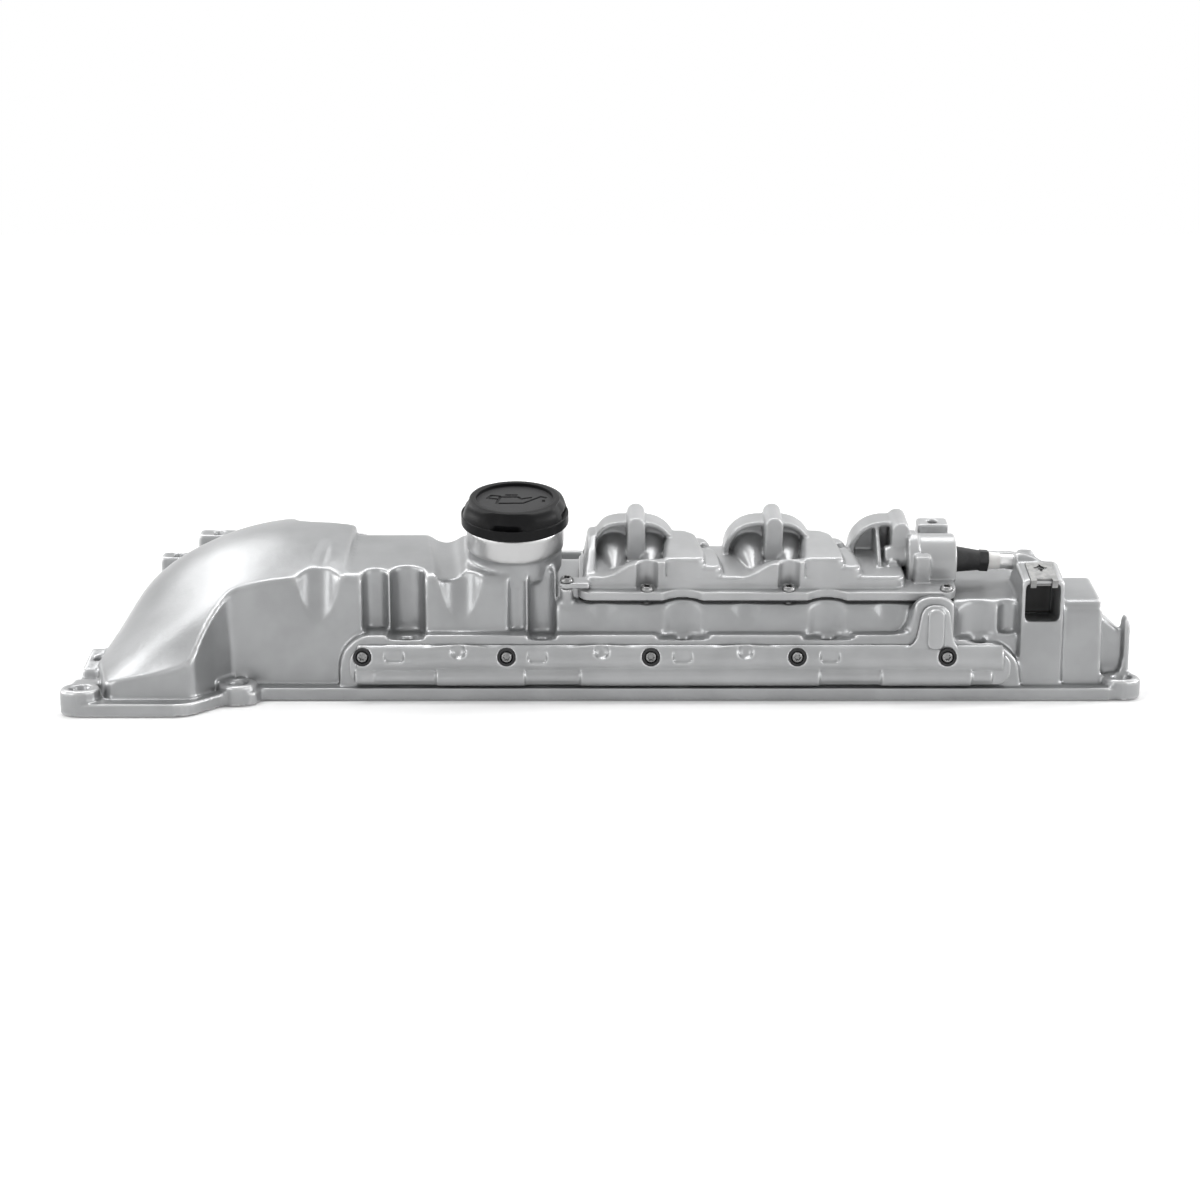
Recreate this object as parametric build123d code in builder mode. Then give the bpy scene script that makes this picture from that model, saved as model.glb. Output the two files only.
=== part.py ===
from build123d import *
import os
from math import cos, radians, sin, tan

# Engine valve cover of a straight-six engine: a long die-cast cover with a raised chain-case end,
# a bolted-on oil separator, a screwed-on side rail and an oil filler neck with its cap.
# X runs along the engine from the chain case to the gearbox end, Y from the intake side to the
# exhaust side, Z up. Z = 0 is the machined sealing face.

# Flange
left_end = -335.5
right_end = 335.5
case_edge = -120.0
intake_edge = -81.5
far_edge = 120.0
flange_thickness = 8.0
flange_set_in = 7.5
ledge = 11.0
far_ledge = 22.0
wall = 4.0
draft = 3.0

# Bolt bosses of the flange: centre and height of each
boss_radius = 12.0
bolt_hole_radius = 4.6
bolt_sink_radius = 6.2
bolt_sink_depth = 5.0
end_boss_height = 16.0
boss_height = 13.0
case_boss = (left_end + boss_radius, case_edge + boss_radius)
step_boss = (-231.0, -84.0)
end_boss = (right_end - boss_radius, -69.5)
far_bolt_pitch = 91.0
far_bolt_count = 7
far_bolt_y = far_edge - boss_radius

# Intake roof: a plane that climbs from the top of the intake wall to the ridge
roof_slope = 12.2
roof_edge_z = 77.0
seat_edge_z = 59.5
ridge_y = -2.0
seat_left = -33.0
end_roof_left = 262.0
end_ridge_y = -30.0
end_fall_ridge = -26.0
end_fall_profile = ((270.0, 69.0), (278.0, 66.5), (290.0, 63.5), (302.0, 58.0), (310.0, 48.0), (320.0, 30.0))
body_right = 311.0
corner_radius = 8.0

# Exhaust side roof, coil trough and the six plug wells
exhaust_roof_y = 66.0
exhaust_roof_z = 67.0
exhaust_shoulder_z = 62.0
exhaust_shoulder = 16.0
trough_floor_z = 54.0
trough_near_y = 10.0
trough_far_y = 60.0
trough_margin = 22.0
well_first_x = -182.0
well_pitch = 91.0
well_count = 6
well_bore_radius = 15.5
well_foot_z = 3.0

# Chain case
case_left = -309.0
case_right = -168.0

# Dents in the intake wall, one for each inlet port, and the channels that run on to the ridge
dent_first_x = -182.0
dent_pitch = 89.3
dent_count = 5
dent_radius = 16.5
dent_lean = 17.0
dent_foot_z = 45.0
channel_radius = 12.0

# Wrench pockets over the intake side bolts: centre, radius, depth and floor of each
pocket_floor_z = 37.8
pockets = (
    (-145.9, 8.2, 15.0, 3.0),
    (-126.4, 11.3, 19.0, 0.0),
    (-56.6, 6.3, 9.0, 3.0),
    (-41.6, 8.8, 15.0, 0.0),
    (46.9, 17.0, 7.2, 0.0),
    (137.7, 17.0, 7.2, 0.0),
    (232.4, 17.0, 7.2, 0.0),
    (251.0, 6.6, 8.0, 2.0),
)
pocket_bolts = (1, 3, 4, 5, 6)
pocket_bolt_y = -69.5

# Rail pad on the intake wall
pad_left = -168.4
pad_right = 258.5
pad_face_y = -77.0
pad_top_z = 41.2
pad_corner = 22.0
pad_right_top_z = 36.0
lobe_x = 204.0
lobe_half = 13.0
lobe_top_z = 65.3
lobe_blend = 10.0

# Filler neck, square to the intake roof
neck_x = -59.0
neck_y = -35.2
neck_radius = 29.5
collar_radius = 31.0
collar_low = 7.0
collar_high = 22.6
spout_radius = 26.0
spout_high = 30.0
neck_bore_radius = 22.0
neck_drop = 16.0

# Bracket with a window at the gearbox end
bracket_left = 258.1
bracket_right = 285.1
bracket_face_y = -73.0
bracket_back_y = -48.0
bracket_top_z = 75.0
bracket_corner = 3.0
web_top_y = -40.0
web_foot_y = -32.0
web_crest = ((bracket_left, 88.0), (273.0, 83.4), (bracket_right, 73.5))
bracket_slope = 18.0
bracket_sheet = 3.0
window_low_z = 49.0
bracket_hole_radius = 3.2

# Lugs: left, right, near and far edge, height at the near edge, foot, slope, and place of the hole
lug_hole_radius = 3.3
lugs = (
    (-334.0, -318.0, -62.0, -34.0, 15.0, 6.0, 15.0, -46.0),
    (-335.0, -318.0, -90.0, -74.0, 12.5, 6.0, 0.0, 0.0),
    (-314.0, -291.0, 90.0, 101.5, 57.0, 6.0, 12.0, 96.0),
    (-287.0, -260.0, 90.0, 101.5, 73.0, 6.0, 12.0, 96.0),
)
fin_x = 330.0
fin_y = -63.0
fin_depth = 12.0
nipple_radius = 5.0

# Step and fin outside the gearbox end wall
step_right = 330.5
step_high_z = 50.0
step_low_z = 35.0
step_near_y = -58.0
step_far_y = 20.0

# Seats under the flange
well_wall = 3.5
seal_seat_radius = 17.5
seal_seat_depth = 8.0
groove_width = 3.4
groove_depth = 3.0

# Perimeter gasket and plug tube seals
gasket_foot = 0.3
gasket_clearance = 0.3
seal_lip_radius = 14.2

# Side rail cover, its gasket and screws
rail_margin = 6.6
rail_gasket_thickness = 0.8
rail_sheet = 3.0
rail_low_z = 9.8
rail_top_z = 33.2
rail_corner = 10.0
channel_z = 15.0
channel_lengths = (
    (-158.0, -146.0, 5.2),
    (-150.0, 240.0, 4.3),
    (-107.0, -52.0, 6.0),
    (-17.0, 132.0, 6.0),
    (171.0, 227.0, 6.0),
)
riser_width = 11.0
rail_facet_xs = (-133.5, -44.0, 46.6, 138.5)
rail_facet_width = 12.0
rail_facet_low_z = 24.5
rail_facet_depth = 0.4
rail_dimple_xs = (-93.5, -3.9, 85.8)
rail_dimple_radius = 6.0
rail_bulge_half = 26.0
rail_bulge = 2.4
rail_screw_xs = (-153.3, -63.3, 26.8, 118.1, 211.6)
rail_screw_z = 28.0
rail_screw_radius = 2.5
rail_head_radius = 4.0
rail_seal_fit = 0.05
rail_seal_proud = 1.2
rail_sink_radius = 5.6
rail_screw_length = 9.0

# Oil separator
separator_gasket_thickness = 1.2
separator_flange = 7.0
separator_wall = 3.0
separator_left = -19.0
separator_right = 219.0
separator_near = 0.3
separator_far = 65.0
chamber_left = -15.5
chamber_right = 187.0
chamber_near = 6.5
chamber_far = 59.4
deck_height = 14.5
cyclone_xs = (18.0, 105.5)
hood_shift = -2.5
hood_width = 57.0
hood_top = 37.0
hood_corner = 21.0
hood_front = 43.0
hood_recess = 8.0
hood_rim = 3.4
cone_radius = 12.2
cone_spread = 11.2
cone_foot = 51.0
cone_tip = 15.0
swell_height = 26.5
side_swell_height = 21.0
notch_radius = 4.6
notch_floor = 17.5
end_rib_x = 186.0
rib_width = 11.5
rib_top = 42.0
end_rib_top = 38.5
rib_front = 32.0
rib_back = 59.0
regulator_left = 194.0
regulator_right = 221.0
regulator_s = 36.0
regulator_h = 14.5
regulator_radius = 16.5
front_screws = ((24.5, 5.0), (113.5, 5.0), (212.5, 5.0))
rear_screws = ((-12.0, 64.0), (62.0, 64.0), (150.0, 64.0), (190.0, 64.0))
screw_pocket_radius = 6.9
separator_screw_radius = 2.5

ear_x = -25.8
ear_s = 5.0
ear_low_h = 9.5
ear_sheet = 3.5
ear_radius = 5.5
separator_head_radius = 4.2
separator_head_height = 2.8
separator_screw_length = 11.4
screw_fit = 0.05
screw_hole_gap = 0.4
rear_lug_x = 210.0
rear_lug_s = 59.5
rear_lug_height = 31.0

# Oil baffle
baffle_x = 100.0
baffle_s = 36.0
baffle_length = 184.0
baffle_width = 44.0
baffle_sheet = 1.5
baffle_drop = 8.0
baffle_screw_radius = 2.0
baffle_post_radius = 5.0
baffle_screw_places = [(baffle_x + dx, baffle_s + ds) for dx in (-86, 86) for ds in (-16, 16)]

# Pressure regulator and vent line
regulator_bore = regulator_radius - 4.5
plunger_stem = 3.0
plunger_head = 10.0
spring_radius = 7.0
spring_wire = 0.7
spring_turns = 3.5
hose_seat_radius = 4.4
hose_seat_length = 8.0
hose_start = 0.4
hose_taper = 16.0
hose_grip = 5.5
vent_fall = 0.05
vent_nipple_length = 19.8
vent_boss_radius = 8.5
vent_boss_start = 40.5
vent_boss_length = 10.0

# Clip nut
clip_width = 17.0
clip_length = 21.0
bracket_hole_s = 14.0
clip_sheet = 1.1
clip_gap = 0.1

# Filler cap
cap_gap = 0.3
cap_radius = 34.0
cap_band = 6.0
cap_height = 17.5
cap_dish_radius = 25.0
cap_dish_depth = 1.6
cap_scoops = 4
cap_scoop_angle = -96.0
scoop_radius = 26.0
scoop_depth = 3.4
plug_radius = neck_bore_radius - cap_gap
plug_depth = 16.0
seal_ring_thickness = 1.5
lug_radius = 24.2
lug_low = -13.0
lug_height = 3.0
lug_clearance = 0.5
slot_clearance = 0.25
lug_arc = 50.0

intake_wall = intake_edge + ledge
case_wall = case_edge + ledge
far_wall = far_edge - far_ledge
roof_top_y = intake_wall + roof_edge_z * tan(radians(draft))
seat_top_y = intake_wall + seat_edge_z * tan(radians(draft))
well_y = (trough_near_y + trough_far_y) / 2
well_centres = [(well_first_x + well_pitch * i, well_y) for i in range(well_count)]
dent_centres = [dent_first_x + dent_pitch * i for i in range(dent_count)]


def roof_z(y, edge_z=roof_edge_z, edge_y=roof_top_y):
    """Height of a roof plane over y, where its lower edge is at edge_y and edge_z."""
    return edge_z + (y - edge_y) * tan(radians(roof_slope))


def roof_plane(x, y, z):
    """A plane through x, y, z that lies parallel to the intake roof."""
    return Plane(origin=(x, y, z), x_dir=(1, 0, 0), z_dir=(0, -sin(radians(roof_slope)), cos(radians(roof_slope))))


def body_length(x0, x1, edge_z, peak_y, inset=0.0):
    """A length of the main body. With an inset it is the hollow under that length."""
    edge_y = intake_wall + edge_z * tan(radians(draft))
    foot = -20.0 if inset else 0.0
    lean = foot * tan(radians(draft))
    points = [
        (intake_wall + lean, foot),
        (edge_y, edge_z),
        (peak_y, roof_z(peak_y, edge_z, edge_y)),
        (exhaust_roof_y, exhaust_roof_z),
        (far_wall - exhaust_shoulder, exhaust_shoulder_z),
        (far_wall - lean, foot),
    ]
    with BuildPart() as body:
        with BuildSketch(Plane.YZ.offset(x0)) as section:
            with BuildLine():
                Polyline(*points, close=True)
            make_face()
            fillet(section.vertices().filter_by_position(Axis.Y, 20, 200), corner_radius)
            if inset:
                offset(amount=-inset, kind=Kind.INTERSECTION)
        extrude(amount=x1 - x0)
    return body.part


def case_plan(inset=0.0):
    """Foot outline of the chain case."""
    right = case_right + 2 * wall
    corners = [
        (case_left, case_wall, 9),
        (-254, case_wall, 9),
        (-243, case_wall + 25, 8),
        (-235, intake_wall, 5),
        (right, intake_wall, 1),
        (right, far_wall, 1),
        (left_end + 18, far_wall, 12),
        (left_end + ledge, 60, 12),
        (left_end + ledge + 1, -62, 12),
    ]
    with BuildSketch(Plane.XY) as plan:
        with BuildLine():
            FilletPolyline(*[(x, y) for x, y, _ in corners], radius=[r for _, _, r in corners], close=True)
        make_face()
        if inset:
            offset(amount=-inset, kind=Kind.INTERSECTION)
    return plan.sketch


def case_dome(drop=0.0):
    """The ramped roof of the chain case, lofted through profiles that cross it."""
    foot = left_end - 20
    far = case_right + 14
    stations = [
        (-128, (3, 8, 14, 21, 28, 34, 38, 40)),
        (-96, (5, 12, 22, 35, 47, 55, 58, 59)),
        (-64, (6, 16, 31, 53, 68, 76, 77, 78)),
        (-32, (4, 17, 42, 68, 82, 90, 91, 86)),
        (0, (2, 17, 52, 79, 91, 98, 98, 93)),
        (32, (1, 17, 52, 78, 90, 96, 96, 91)),
        (64, (0, 15, 45, 68, 78, 84, 82, 79)),
        (96, (0, 12, 35, 52, 60, 64, 65, 64)),
        (128, (0, 9, 25, 36, 42, 45, 47, 48)),
    ]
    across = (foot, -330, -306, -270, -240, -202, -184, far)
    with BuildPart() as dome:
        for y, heights in stations:
            with BuildSketch(Plane.XZ.offset(-y)):
                with BuildLine():
                    roof = Spline(*[(x, z - drop) for x, z in zip(across, heights)])
                    Polyline(roof @ 1, (far, -40), (foot, -40), roof @ 0)
                make_face()
        loft()
    return dome.part


def trough(extra=0.0):
    """The open trough that the ignition coils stand in. With extra it is that much larger all round."""
    left = well_centres[0][0] - trough_margin
    right = well_centres[-1][0] + trough_margin
    with BuildPart() as cut:
        with BuildSketch(Plane.XY.offset(trough_floor_z - extra)):
            with Locations(((left + right) / 2, well_y)):
                RectangleRounded(
                    right - left + 2 * extra,
                    trough_far_y - trough_near_y + 2 * extra,
                    16 + extra,
                )
        extrude(amount=90, taper=-6)
    return cut.part


def dents(extra=0.0):
    """Leaning round dents over the inlet ports, with the two channels that cross the roof."""
    lean = radians(dent_lean)
    with BuildPart() as cut:
        for x in dent_centres:
            foot_y = intake_wall + dent_foot_z * tan(radians(draft))
            start = (x, foot_y - dent_radius / cos(lean) - 40 * tan(lean), dent_foot_z - 40)
            with BuildSketch(Plane(origin=start, x_dir=(1, 0, 0), z_dir=(0, sin(lean), cos(lean)))):
                Circle(dent_radius + extra)
            extrude(amount=150)
        for x, skew, low_z, slope in ((dent_centres[0] - 1, 0.05, 73.5, 22.0), (dent_centres[1] - 4, -0.11, 72.5, 9.7)):
            start = (x, intake_wall - 12, low_z + channel_radius - 3)
            run = (skew, 1, tan(radians(slope)))
            with BuildSketch(Plane(origin=start, x_dir=(1, -skew, 0), z_dir=run)):
                Circle(channel_radius + extra)
            extrude(amount=90 + extra)
        split(bisect_by=Plane.XY.offset(pad_top_z + 0.8 - extra), keep=Keep.TOP)
    return cut.part


def wrench_pockets(extra=0.0):
    """Upright pockets in the intake wall, open at the front, for the wrench on each bolt."""
    with BuildPart() as cut:
        for x, radius, depth, raise_floor in pockets:
            with BuildSketch(Plane.XY.offset(pocket_floor_z + raise_floor - extra)):
                with Locations((x, intake_wall + depth - radius)):
                    Circle(radius + extra)
                with Locations((x, intake_wall + depth - radius - 15)):
                    Rectangle(2 * (radius + extra), 30)
            extrude(amount=80)
    return cut.part


def bolt_columns(radius, low, high):
    """Round columns about the bolts that pass down through the wrench pockets."""
    with BuildPart() as columns:
        with BuildSketch(Plane.XY.offset(low)):
            with Locations(*[(pockets[i][0], pocket_bolt_y) for i in pocket_bolts]):
                Circle(radius)
        extrude(amount=high - low)
    return columns.part


def front_plane(y):
    """A plane that faces the intake side, with X to the right and Z up."""
    return Plane(origin=(0, y, 0), x_dir=(1, 0, 0), z_dir=(0, -1, 0))


def end_step(inset=0.0):
    """The low step outside the gearbox end wall."""
    outline = [
        (body_right - 8, -20.0 if inset else 0.0),
        (step_right, -20.0 if inset else 0.0),
        (step_right, step_low_z),
        (body_right, step_high_z),
        (body_right - 8, step_high_z),
    ]
    with BuildPart() as step:
        with BuildSketch(front_plane(step_near_y + inset)) as side:
            with BuildLine():
                Polyline(*outline, close=True)
            make_face()
            if inset:
                offset(amount=-inset, kind=Kind.INTERSECTION)
        extrude(amount=-(step_far_y - step_near_y - 2 * inset))
        if not inset:
            fillet(step.edges().filter_by(Axis.Z).group_by(Axis.X)[-1], corner_radius)
    return step.part


def end_fall(extra=0.0):
    """What is cut from the far roof where it falls away to the gearbox end. With extra the cut is deeper."""
    with BuildPart() as cut:
        with BuildSketch(front_plane(end_fall_ridge - extra)):
            with BuildLine():
                Polyline(
                    (end_fall_profile[0][0] - extra, 100),
                    *[(x - extra, z - extra) for x, z in end_fall_profile],
                    (end_fall_profile[-1][0], 100),
                    close=True,
                )
            make_face()
        extrude(amount=end_fall_ridge - extra - far_edge)
    return cut.part


def bracket_box(inset=0.0, extra=0.0):
    """Side profile of the window bracket across its width. With an inset it is the space inside."""
    rise = tan(radians(bracket_slope))
    low = window_low_z if inset else flange_thickness - 1
    top = bracket_top_z - inset
    face = bracket_face_y - (5 if inset else 0)
    back = bracket_back_y - inset + extra
    with BuildPart() as box:
        with BuildSketch(Plane.YZ.offset(bracket_left + inset - extra)):
            with BuildLine():
                Polyline(
                    (face, low - extra),
                    (face, top - (5 * rise if inset else 0)),
                    (back, top + (back - bracket_face_y) * rise),
                    (back, low - extra),
                    close=True,
                )
            make_face()
        extrude(amount=bracket_right - bracket_left - 2 * inset + 2 * extra)
        if not inset:
            upper = box.faces().filter_by(lambda f: f.normal_at().Z > 0.5)[0].edges()
            fillet(upper.filter_by(lambda e: e.bounding_box().size.X < 0.1), bracket_corner)
    return box.part


def bracket_web():
    """The curved web behind the bracket's top plate, highest at its left side."""
    with BuildPart() as web:
        with BuildSketch(front_plane(bracket_back_y - 1)):
            with BuildLine():
                crest = ThreePointArc(*web_crest)
                Polyline(crest @ 1, (bracket_right, seat_edge_z), (bracket_left, seat_edge_z), crest @ 0)
            make_face()
        extrude(amount=bracket_back_y - 1 - web_foot_y)
        with BuildSketch(Plane.YZ.offset(bracket_left)):
            with BuildLine():
                Polyline(
                    (bracket_back_y - 2, seat_edge_z),
                    (bracket_back_y - 2, web_crest[0][1]),
                    (web_top_y, web_crest[0][1]),
                    (web_foot_y - 1, bracket_top_z - 5),
                    (web_foot_y, seat_edge_z),
                    close=True,
                )
            make_face()
        extrude(amount=bracket_right - bracket_left, mode=Mode.INTERSECT)
    return web.part


def flange_outline():
    """Outline of the sealing flange between its bosses."""
    far = far_edge - flange_set_in
    corners = [
        (left_end, case_edge, boss_radius),
        (-256, case_edge, 16),
        (-238, -94, 9),
        (-219, -94, 6),
        (-217, intake_edge, 4),
        (right_end, intake_edge, 24),
        (right_end, far, 10),
        (left_end, far, 10),
    ]
    with BuildSketch(Plane.XY) as outline:
        with BuildLine():
            FilletPolyline(*[(x, y) for x, y, _ in corners], radius=[r for _, _, r in corners], close=True)
        make_face()
    return outline.sketch


def seal_line(grow=0.0):
    """Outline that the perimeter gasket follows, outside the intake side bolts, inside the far ones."""
    near = intake_edge + 4.1
    corners = [
        (left_end + 4.3, case_edge + 4.3, 8),
        (-255, case_edge + 4.3, 10),
        (-240, near, 6),
        (right_end - 4.4, near, 8),
        (right_end - 4.4, far_wall + 1.5, 8),
        (left_end + 4.3, far_wall + 1.5, 8),
    ]
    with BuildSketch(Plane.XY) as outline:
        with BuildLine():
            FilletPolyline(*[(x, y) for x, y, _ in corners], radius=[r for _, _, r in corners], close=True)
        make_face()
        offset(amount=grow)
    return outline.sketch


def rail_outline(left, right, low, top, right_top, lobe_half, lobe_top, corner, low_corner):
    """Outline of the side rail: a long bar with an arched lobe that stands up near one end."""
    base = lobe_half + 5
    corners = [
        (left, low, low_corner),
        (left, top, corner),
        (lobe_x - base, top, lobe_blend),
        (lobe_x - lobe_half, lobe_top, lobe_half * 0.97),
        (lobe_x + lobe_half, lobe_top, lobe_half * 0.97),
        (lobe_x + base, right_top, lobe_blend),
        (right, right_top, corner),
        (right, low, low_corner),
    ]
    with BuildSketch(Plane.XY) as outline:
        with BuildLine():
            FilletPolyline(*[(x, z) for x, z, _ in corners], radius=[r for _, _, r in corners], close=True)
        make_face()
    return outline.sketch


# Oil separator, built square to its seat: local X along the engine, Y up the slope
seat = roof_plane(0, seat_top_y, seat_edge_z)


def seat_point(x, s, h):
    """A point that is x along the engine, s up the seat and h above it."""
    a = radians(roof_slope)
    return (x, seat_top_y + s * cos(a) - h * sin(a), seat_edge_z + s * sin(a) + h * cos(a))


flange_bosses = [
    (*case_boss, end_boss_height),
    (*step_boss, boss_height),
    (*end_boss, boss_height),
    (right_end - boss_radius, step_far_y + boss_radius + 4, boss_height),
    (right_end - boss_radius, far_bolt_y, boss_height),
    (left_end + boss_radius, far_bolt_y, boss_height),
]
far_bolts = [((i - (far_bolt_count - 1) / 2) * far_bolt_pitch, far_bolt_y) for i in range(far_bolt_count)]
flange_bosses += [(x, y, boss_height) for x, y in far_bolts]

# The hollow over the camshafts, shared by the casting and by what hangs in it
with BuildPart() as passage:
    add(body_length(case_right - wall - 2, case_right + wall + 1, roof_edge_z, ridge_y, wall))
    add(case_dome(wall), mode=Mode.INTERSECT)

with BuildPart() as case_hollow:
    with BuildSketch(Plane.XY.offset(-20)):
        add(case_plan(wall))
    extrude(amount=150, taper=draft)
    add(case_dome(wall), mode=Mode.INTERSECT)

with BuildPart() as hollow:
    add(body_length(case_right + wall, seat_left - wall, roof_edge_z, ridge_y, wall))
    add(body_length(seat_left - wall - 1, end_roof_left - wall, seat_edge_z, ridge_y, wall))
    add(body_length(end_roof_left - wall - 1, body_right - wall, seat_edge_z, end_ridge_y, wall))
    add(case_hollow.part)
    add(passage.part)
    add(end_fall(wall), mode=Mode.SUBTRACT)
    add(end_step(wall))
    add(trough(wall), mode=Mode.SUBTRACT)
    add(dents(wall), mode=Mode.SUBTRACT)
    add(wrench_pockets(wall), mode=Mode.SUBTRACT)
    add(bolt_columns(bolt_hole_radius + wall, -30, 60), mode=Mode.SUBTRACT)
    add(bracket_box(bracket_sheet, wall), mode=Mode.SUBTRACT)

with BuildPart() as chain_case:
    with BuildSketch(Plane.XY):
        add(case_plan())
    extrude(amount=130, taper=draft)
    add(case_dome(), mode=Mode.INTERSECT)

neck_plane = roof_plane(neck_x, neck_y, roof_z(neck_y))
cap_plane = neck_plane.offset(collar_high + cap_gap)
axis_point = seat_point(0, regulator_s, regulator_h)
vent_axis = Plane(
    origin=(regulator_right, axis_point[1], axis_point[2]), x_dir=(0, 1, 0), z_dir=(1, 0, -vent_fall)
)
top_plate = Plane(
    origin=((bracket_left + bracket_right) / 2, bracket_face_y, bracket_top_z),
    x_dir=(1, 0, 0),
    z_dir=(0, -sin(radians(bracket_slope)), cos(radians(bracket_slope))),
)


def lug_sectors(grow, turn):
    """The two bayonet lugs seen along the cap's axis."""
    half = lug_arc / 2 + (8 if grow else 0)
    with BuildSketch(Plane.XY) as sectors:
        for side in (turn, turn + 180):
            with BuildLine():
                arc = CenterArc((0, 0), lug_radius + grow, side - half, 2 * half)
                Polyline(arc @ 1, (0, 0), arc @ 0)
            make_face()
    return sectors.sketch


with BuildPart() as cover_casting:
    with BuildSketch():
        add(flange_outline())
    extrude(amount=flange_thickness)
    for x, y, height in flange_bosses:
        with BuildSketch():
            with Locations((x, y)):
                Circle(boss_radius)
        extrude(amount=height)
    add(chain_case.part)
    add(body_length(case_right - 1, seat_left, roof_edge_z, ridge_y))
    add(body_length(seat_left - 1, end_roof_left, seat_edge_z, ridge_y))
    add(body_length(end_roof_left - 1, body_right, seat_edge_z, end_ridge_y))
    add(end_fall(), mode=Mode.SUBTRACT)
    add(end_step())
    with BuildSketch(front_plane(pad_face_y)):
        add(rail_outline(pad_left, pad_right, flange_thickness - 1, pad_top_z, pad_right_top_z,
                         lobe_half, lobe_top_z, pad_corner, 1))
    extrude(amount=-(intake_wall - pad_face_y + 2.2))
    add(trough(), mode=Mode.SUBTRACT)
    add(hollow.part, mode=Mode.SUBTRACT)
    add(dents(), mode=Mode.SUBTRACT)
    add(wrench_pockets(), mode=Mode.SUBTRACT)

    # Bracket with its window and web
    add(bracket_box())
    add(bracket_web())
    add(bracket_box(bracket_sheet), mode=Mode.SUBTRACT)

    # Filler neck with its turned collar and spout
    with BuildSketch(neck_plane.offset(-neck_drop)):
        Circle(neck_radius - 3.5)
    extrude(amount=neck_drop + 1)
    with BuildSketch(neck_plane.offset(-8)):
        Circle(neck_radius)
    extrude(amount=8 + collar_low + 1)
    with BuildSketch(neck_plane.offset(collar_low)):
        Circle(collar_radius)
    extrude(amount=collar_high - collar_low)
    with BuildSketch(neck_plane.offset(collar_high - 1)):
        Circle(spout_radius)
    extrude(amount=spout_high - collar_high + 1)
    with BuildSketch(neck_plane.offset(-neck_drop - 20)):
        Circle(neck_bore_radius)
    extrude(amount=80, mode=Mode.SUBTRACT)

    # Groove and entry slots of the cap's bayonet
    with BuildSketch(cap_plane.offset(lug_low - lug_clearance)):
        Circle(lug_radius + lug_clearance)
    extrude(amount=lug_height + 2 * lug_clearance, mode=Mode.SUBTRACT)
    with BuildSketch(cap_plane.offset(lug_low)):
        add(lug_sectors(slot_clearance, 90))
    extrude(amount=40, mode=Mode.SUBTRACT)

    # Post under the separator's ear, boss of the vent nipple, posts of the baffle
    with BuildSketch(seat.offset(-2)):
        with Locations((ear_x, ear_s)):
            Circle(ear_radius - 1.2)
    extrude(amount=ear_low_h + 2)
    with BuildSketch(vent_axis.offset(vent_boss_start)):
        Circle(vent_boss_radius)
        with Locations((0, -vent_boss_radius)):
            Rectangle(2 * vent_boss_radius, 2 * vent_boss_radius)
    extrude(amount=vent_boss_length)
    with BuildSketch(vent_axis.offset(vent_boss_start - 10)):
        Circle(nipple_radius + screw_fit)
    extrude(amount=9 + vent_boss_length, mode=Mode.SUBTRACT)
    with BuildSketch(seat.offset(-wall + 1)):
        with Locations(*baffle_screw_places):
            Circle(baffle_post_radius)
    extrude(amount=wall - 1 - baffle_drop)

    # Lugs for the engine cover and the harness, with their holes
    for x0, x1, y0, y1, z0, low, slope, hole_y in lugs:
        rise = (y1 - y0) * tan(radians(slope))
        with BuildSketch(Plane.YZ.offset(x0)):
            with BuildLine():
                Polyline((y0, low), (y0, z0), (y1, z0 + rise), (y1, low), close=True)
            make_face()
        extrude(amount=x1 - x0)
        if hole_y:
            with BuildSketch(Plane.XY.offset(z0 - 4)):
                with Locations(((x0 + x1) / 2, hole_y)):
                    Circle(lug_hole_radius)
            extrude(amount=60, mode=Mode.SUBTRACT)
    with BuildSketch(front_plane(fin_y)):
        with BuildLine():
            Polyline((fin_x - 7, 7), (fin_x - 4, 24), (fin_x - 4.4, 46), (fin_x - 2, 50), (fin_x, 44), (fin_x, 7), close=True)
        make_face()
    extrude(amount=-fin_depth)

    # Plug wells: a tube from the trough floor down to the plug tube seal
    with BuildSketch(Plane.XY.offset(well_foot_z)):
        with Locations(*well_centres):
            Circle(well_bore_radius + well_wall)
    extrude(amount=trough_floor_z - well_foot_z - 1)
    with BuildSketch(Plane.XY.offset(-1)):
        with Locations(*well_centres):
            Circle(well_bore_radius)
    extrude(amount=trough_floor_z + 20, mode=Mode.SUBTRACT)
    with BuildSketch(Plane.XY.offset(well_foot_z - 1)):
        with Locations(*well_centres):
            Circle(seal_seat_radius)
    extrude(amount=seal_seat_depth + 1, mode=Mode.SUBTRACT)

    # Bolt holes
    for x, y, height in flange_bosses:
        with BuildSketch(Plane.XY.offset(-1)):
            with Locations((x, y)):
                Circle(bolt_hole_radius)
        extrude(amount=height + 30, mode=Mode.SUBTRACT)
        with BuildSketch(Plane.XY.offset(height - bolt_sink_depth)):
            with Locations((x, y)):
                Circle(bolt_sink_radius)
        extrude(amount=bolt_sink_depth + 10, mode=Mode.SUBTRACT)
    add(bolt_columns(bolt_hole_radius, -1, pocket_floor_z + 1), mode=Mode.SUBTRACT)

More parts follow.
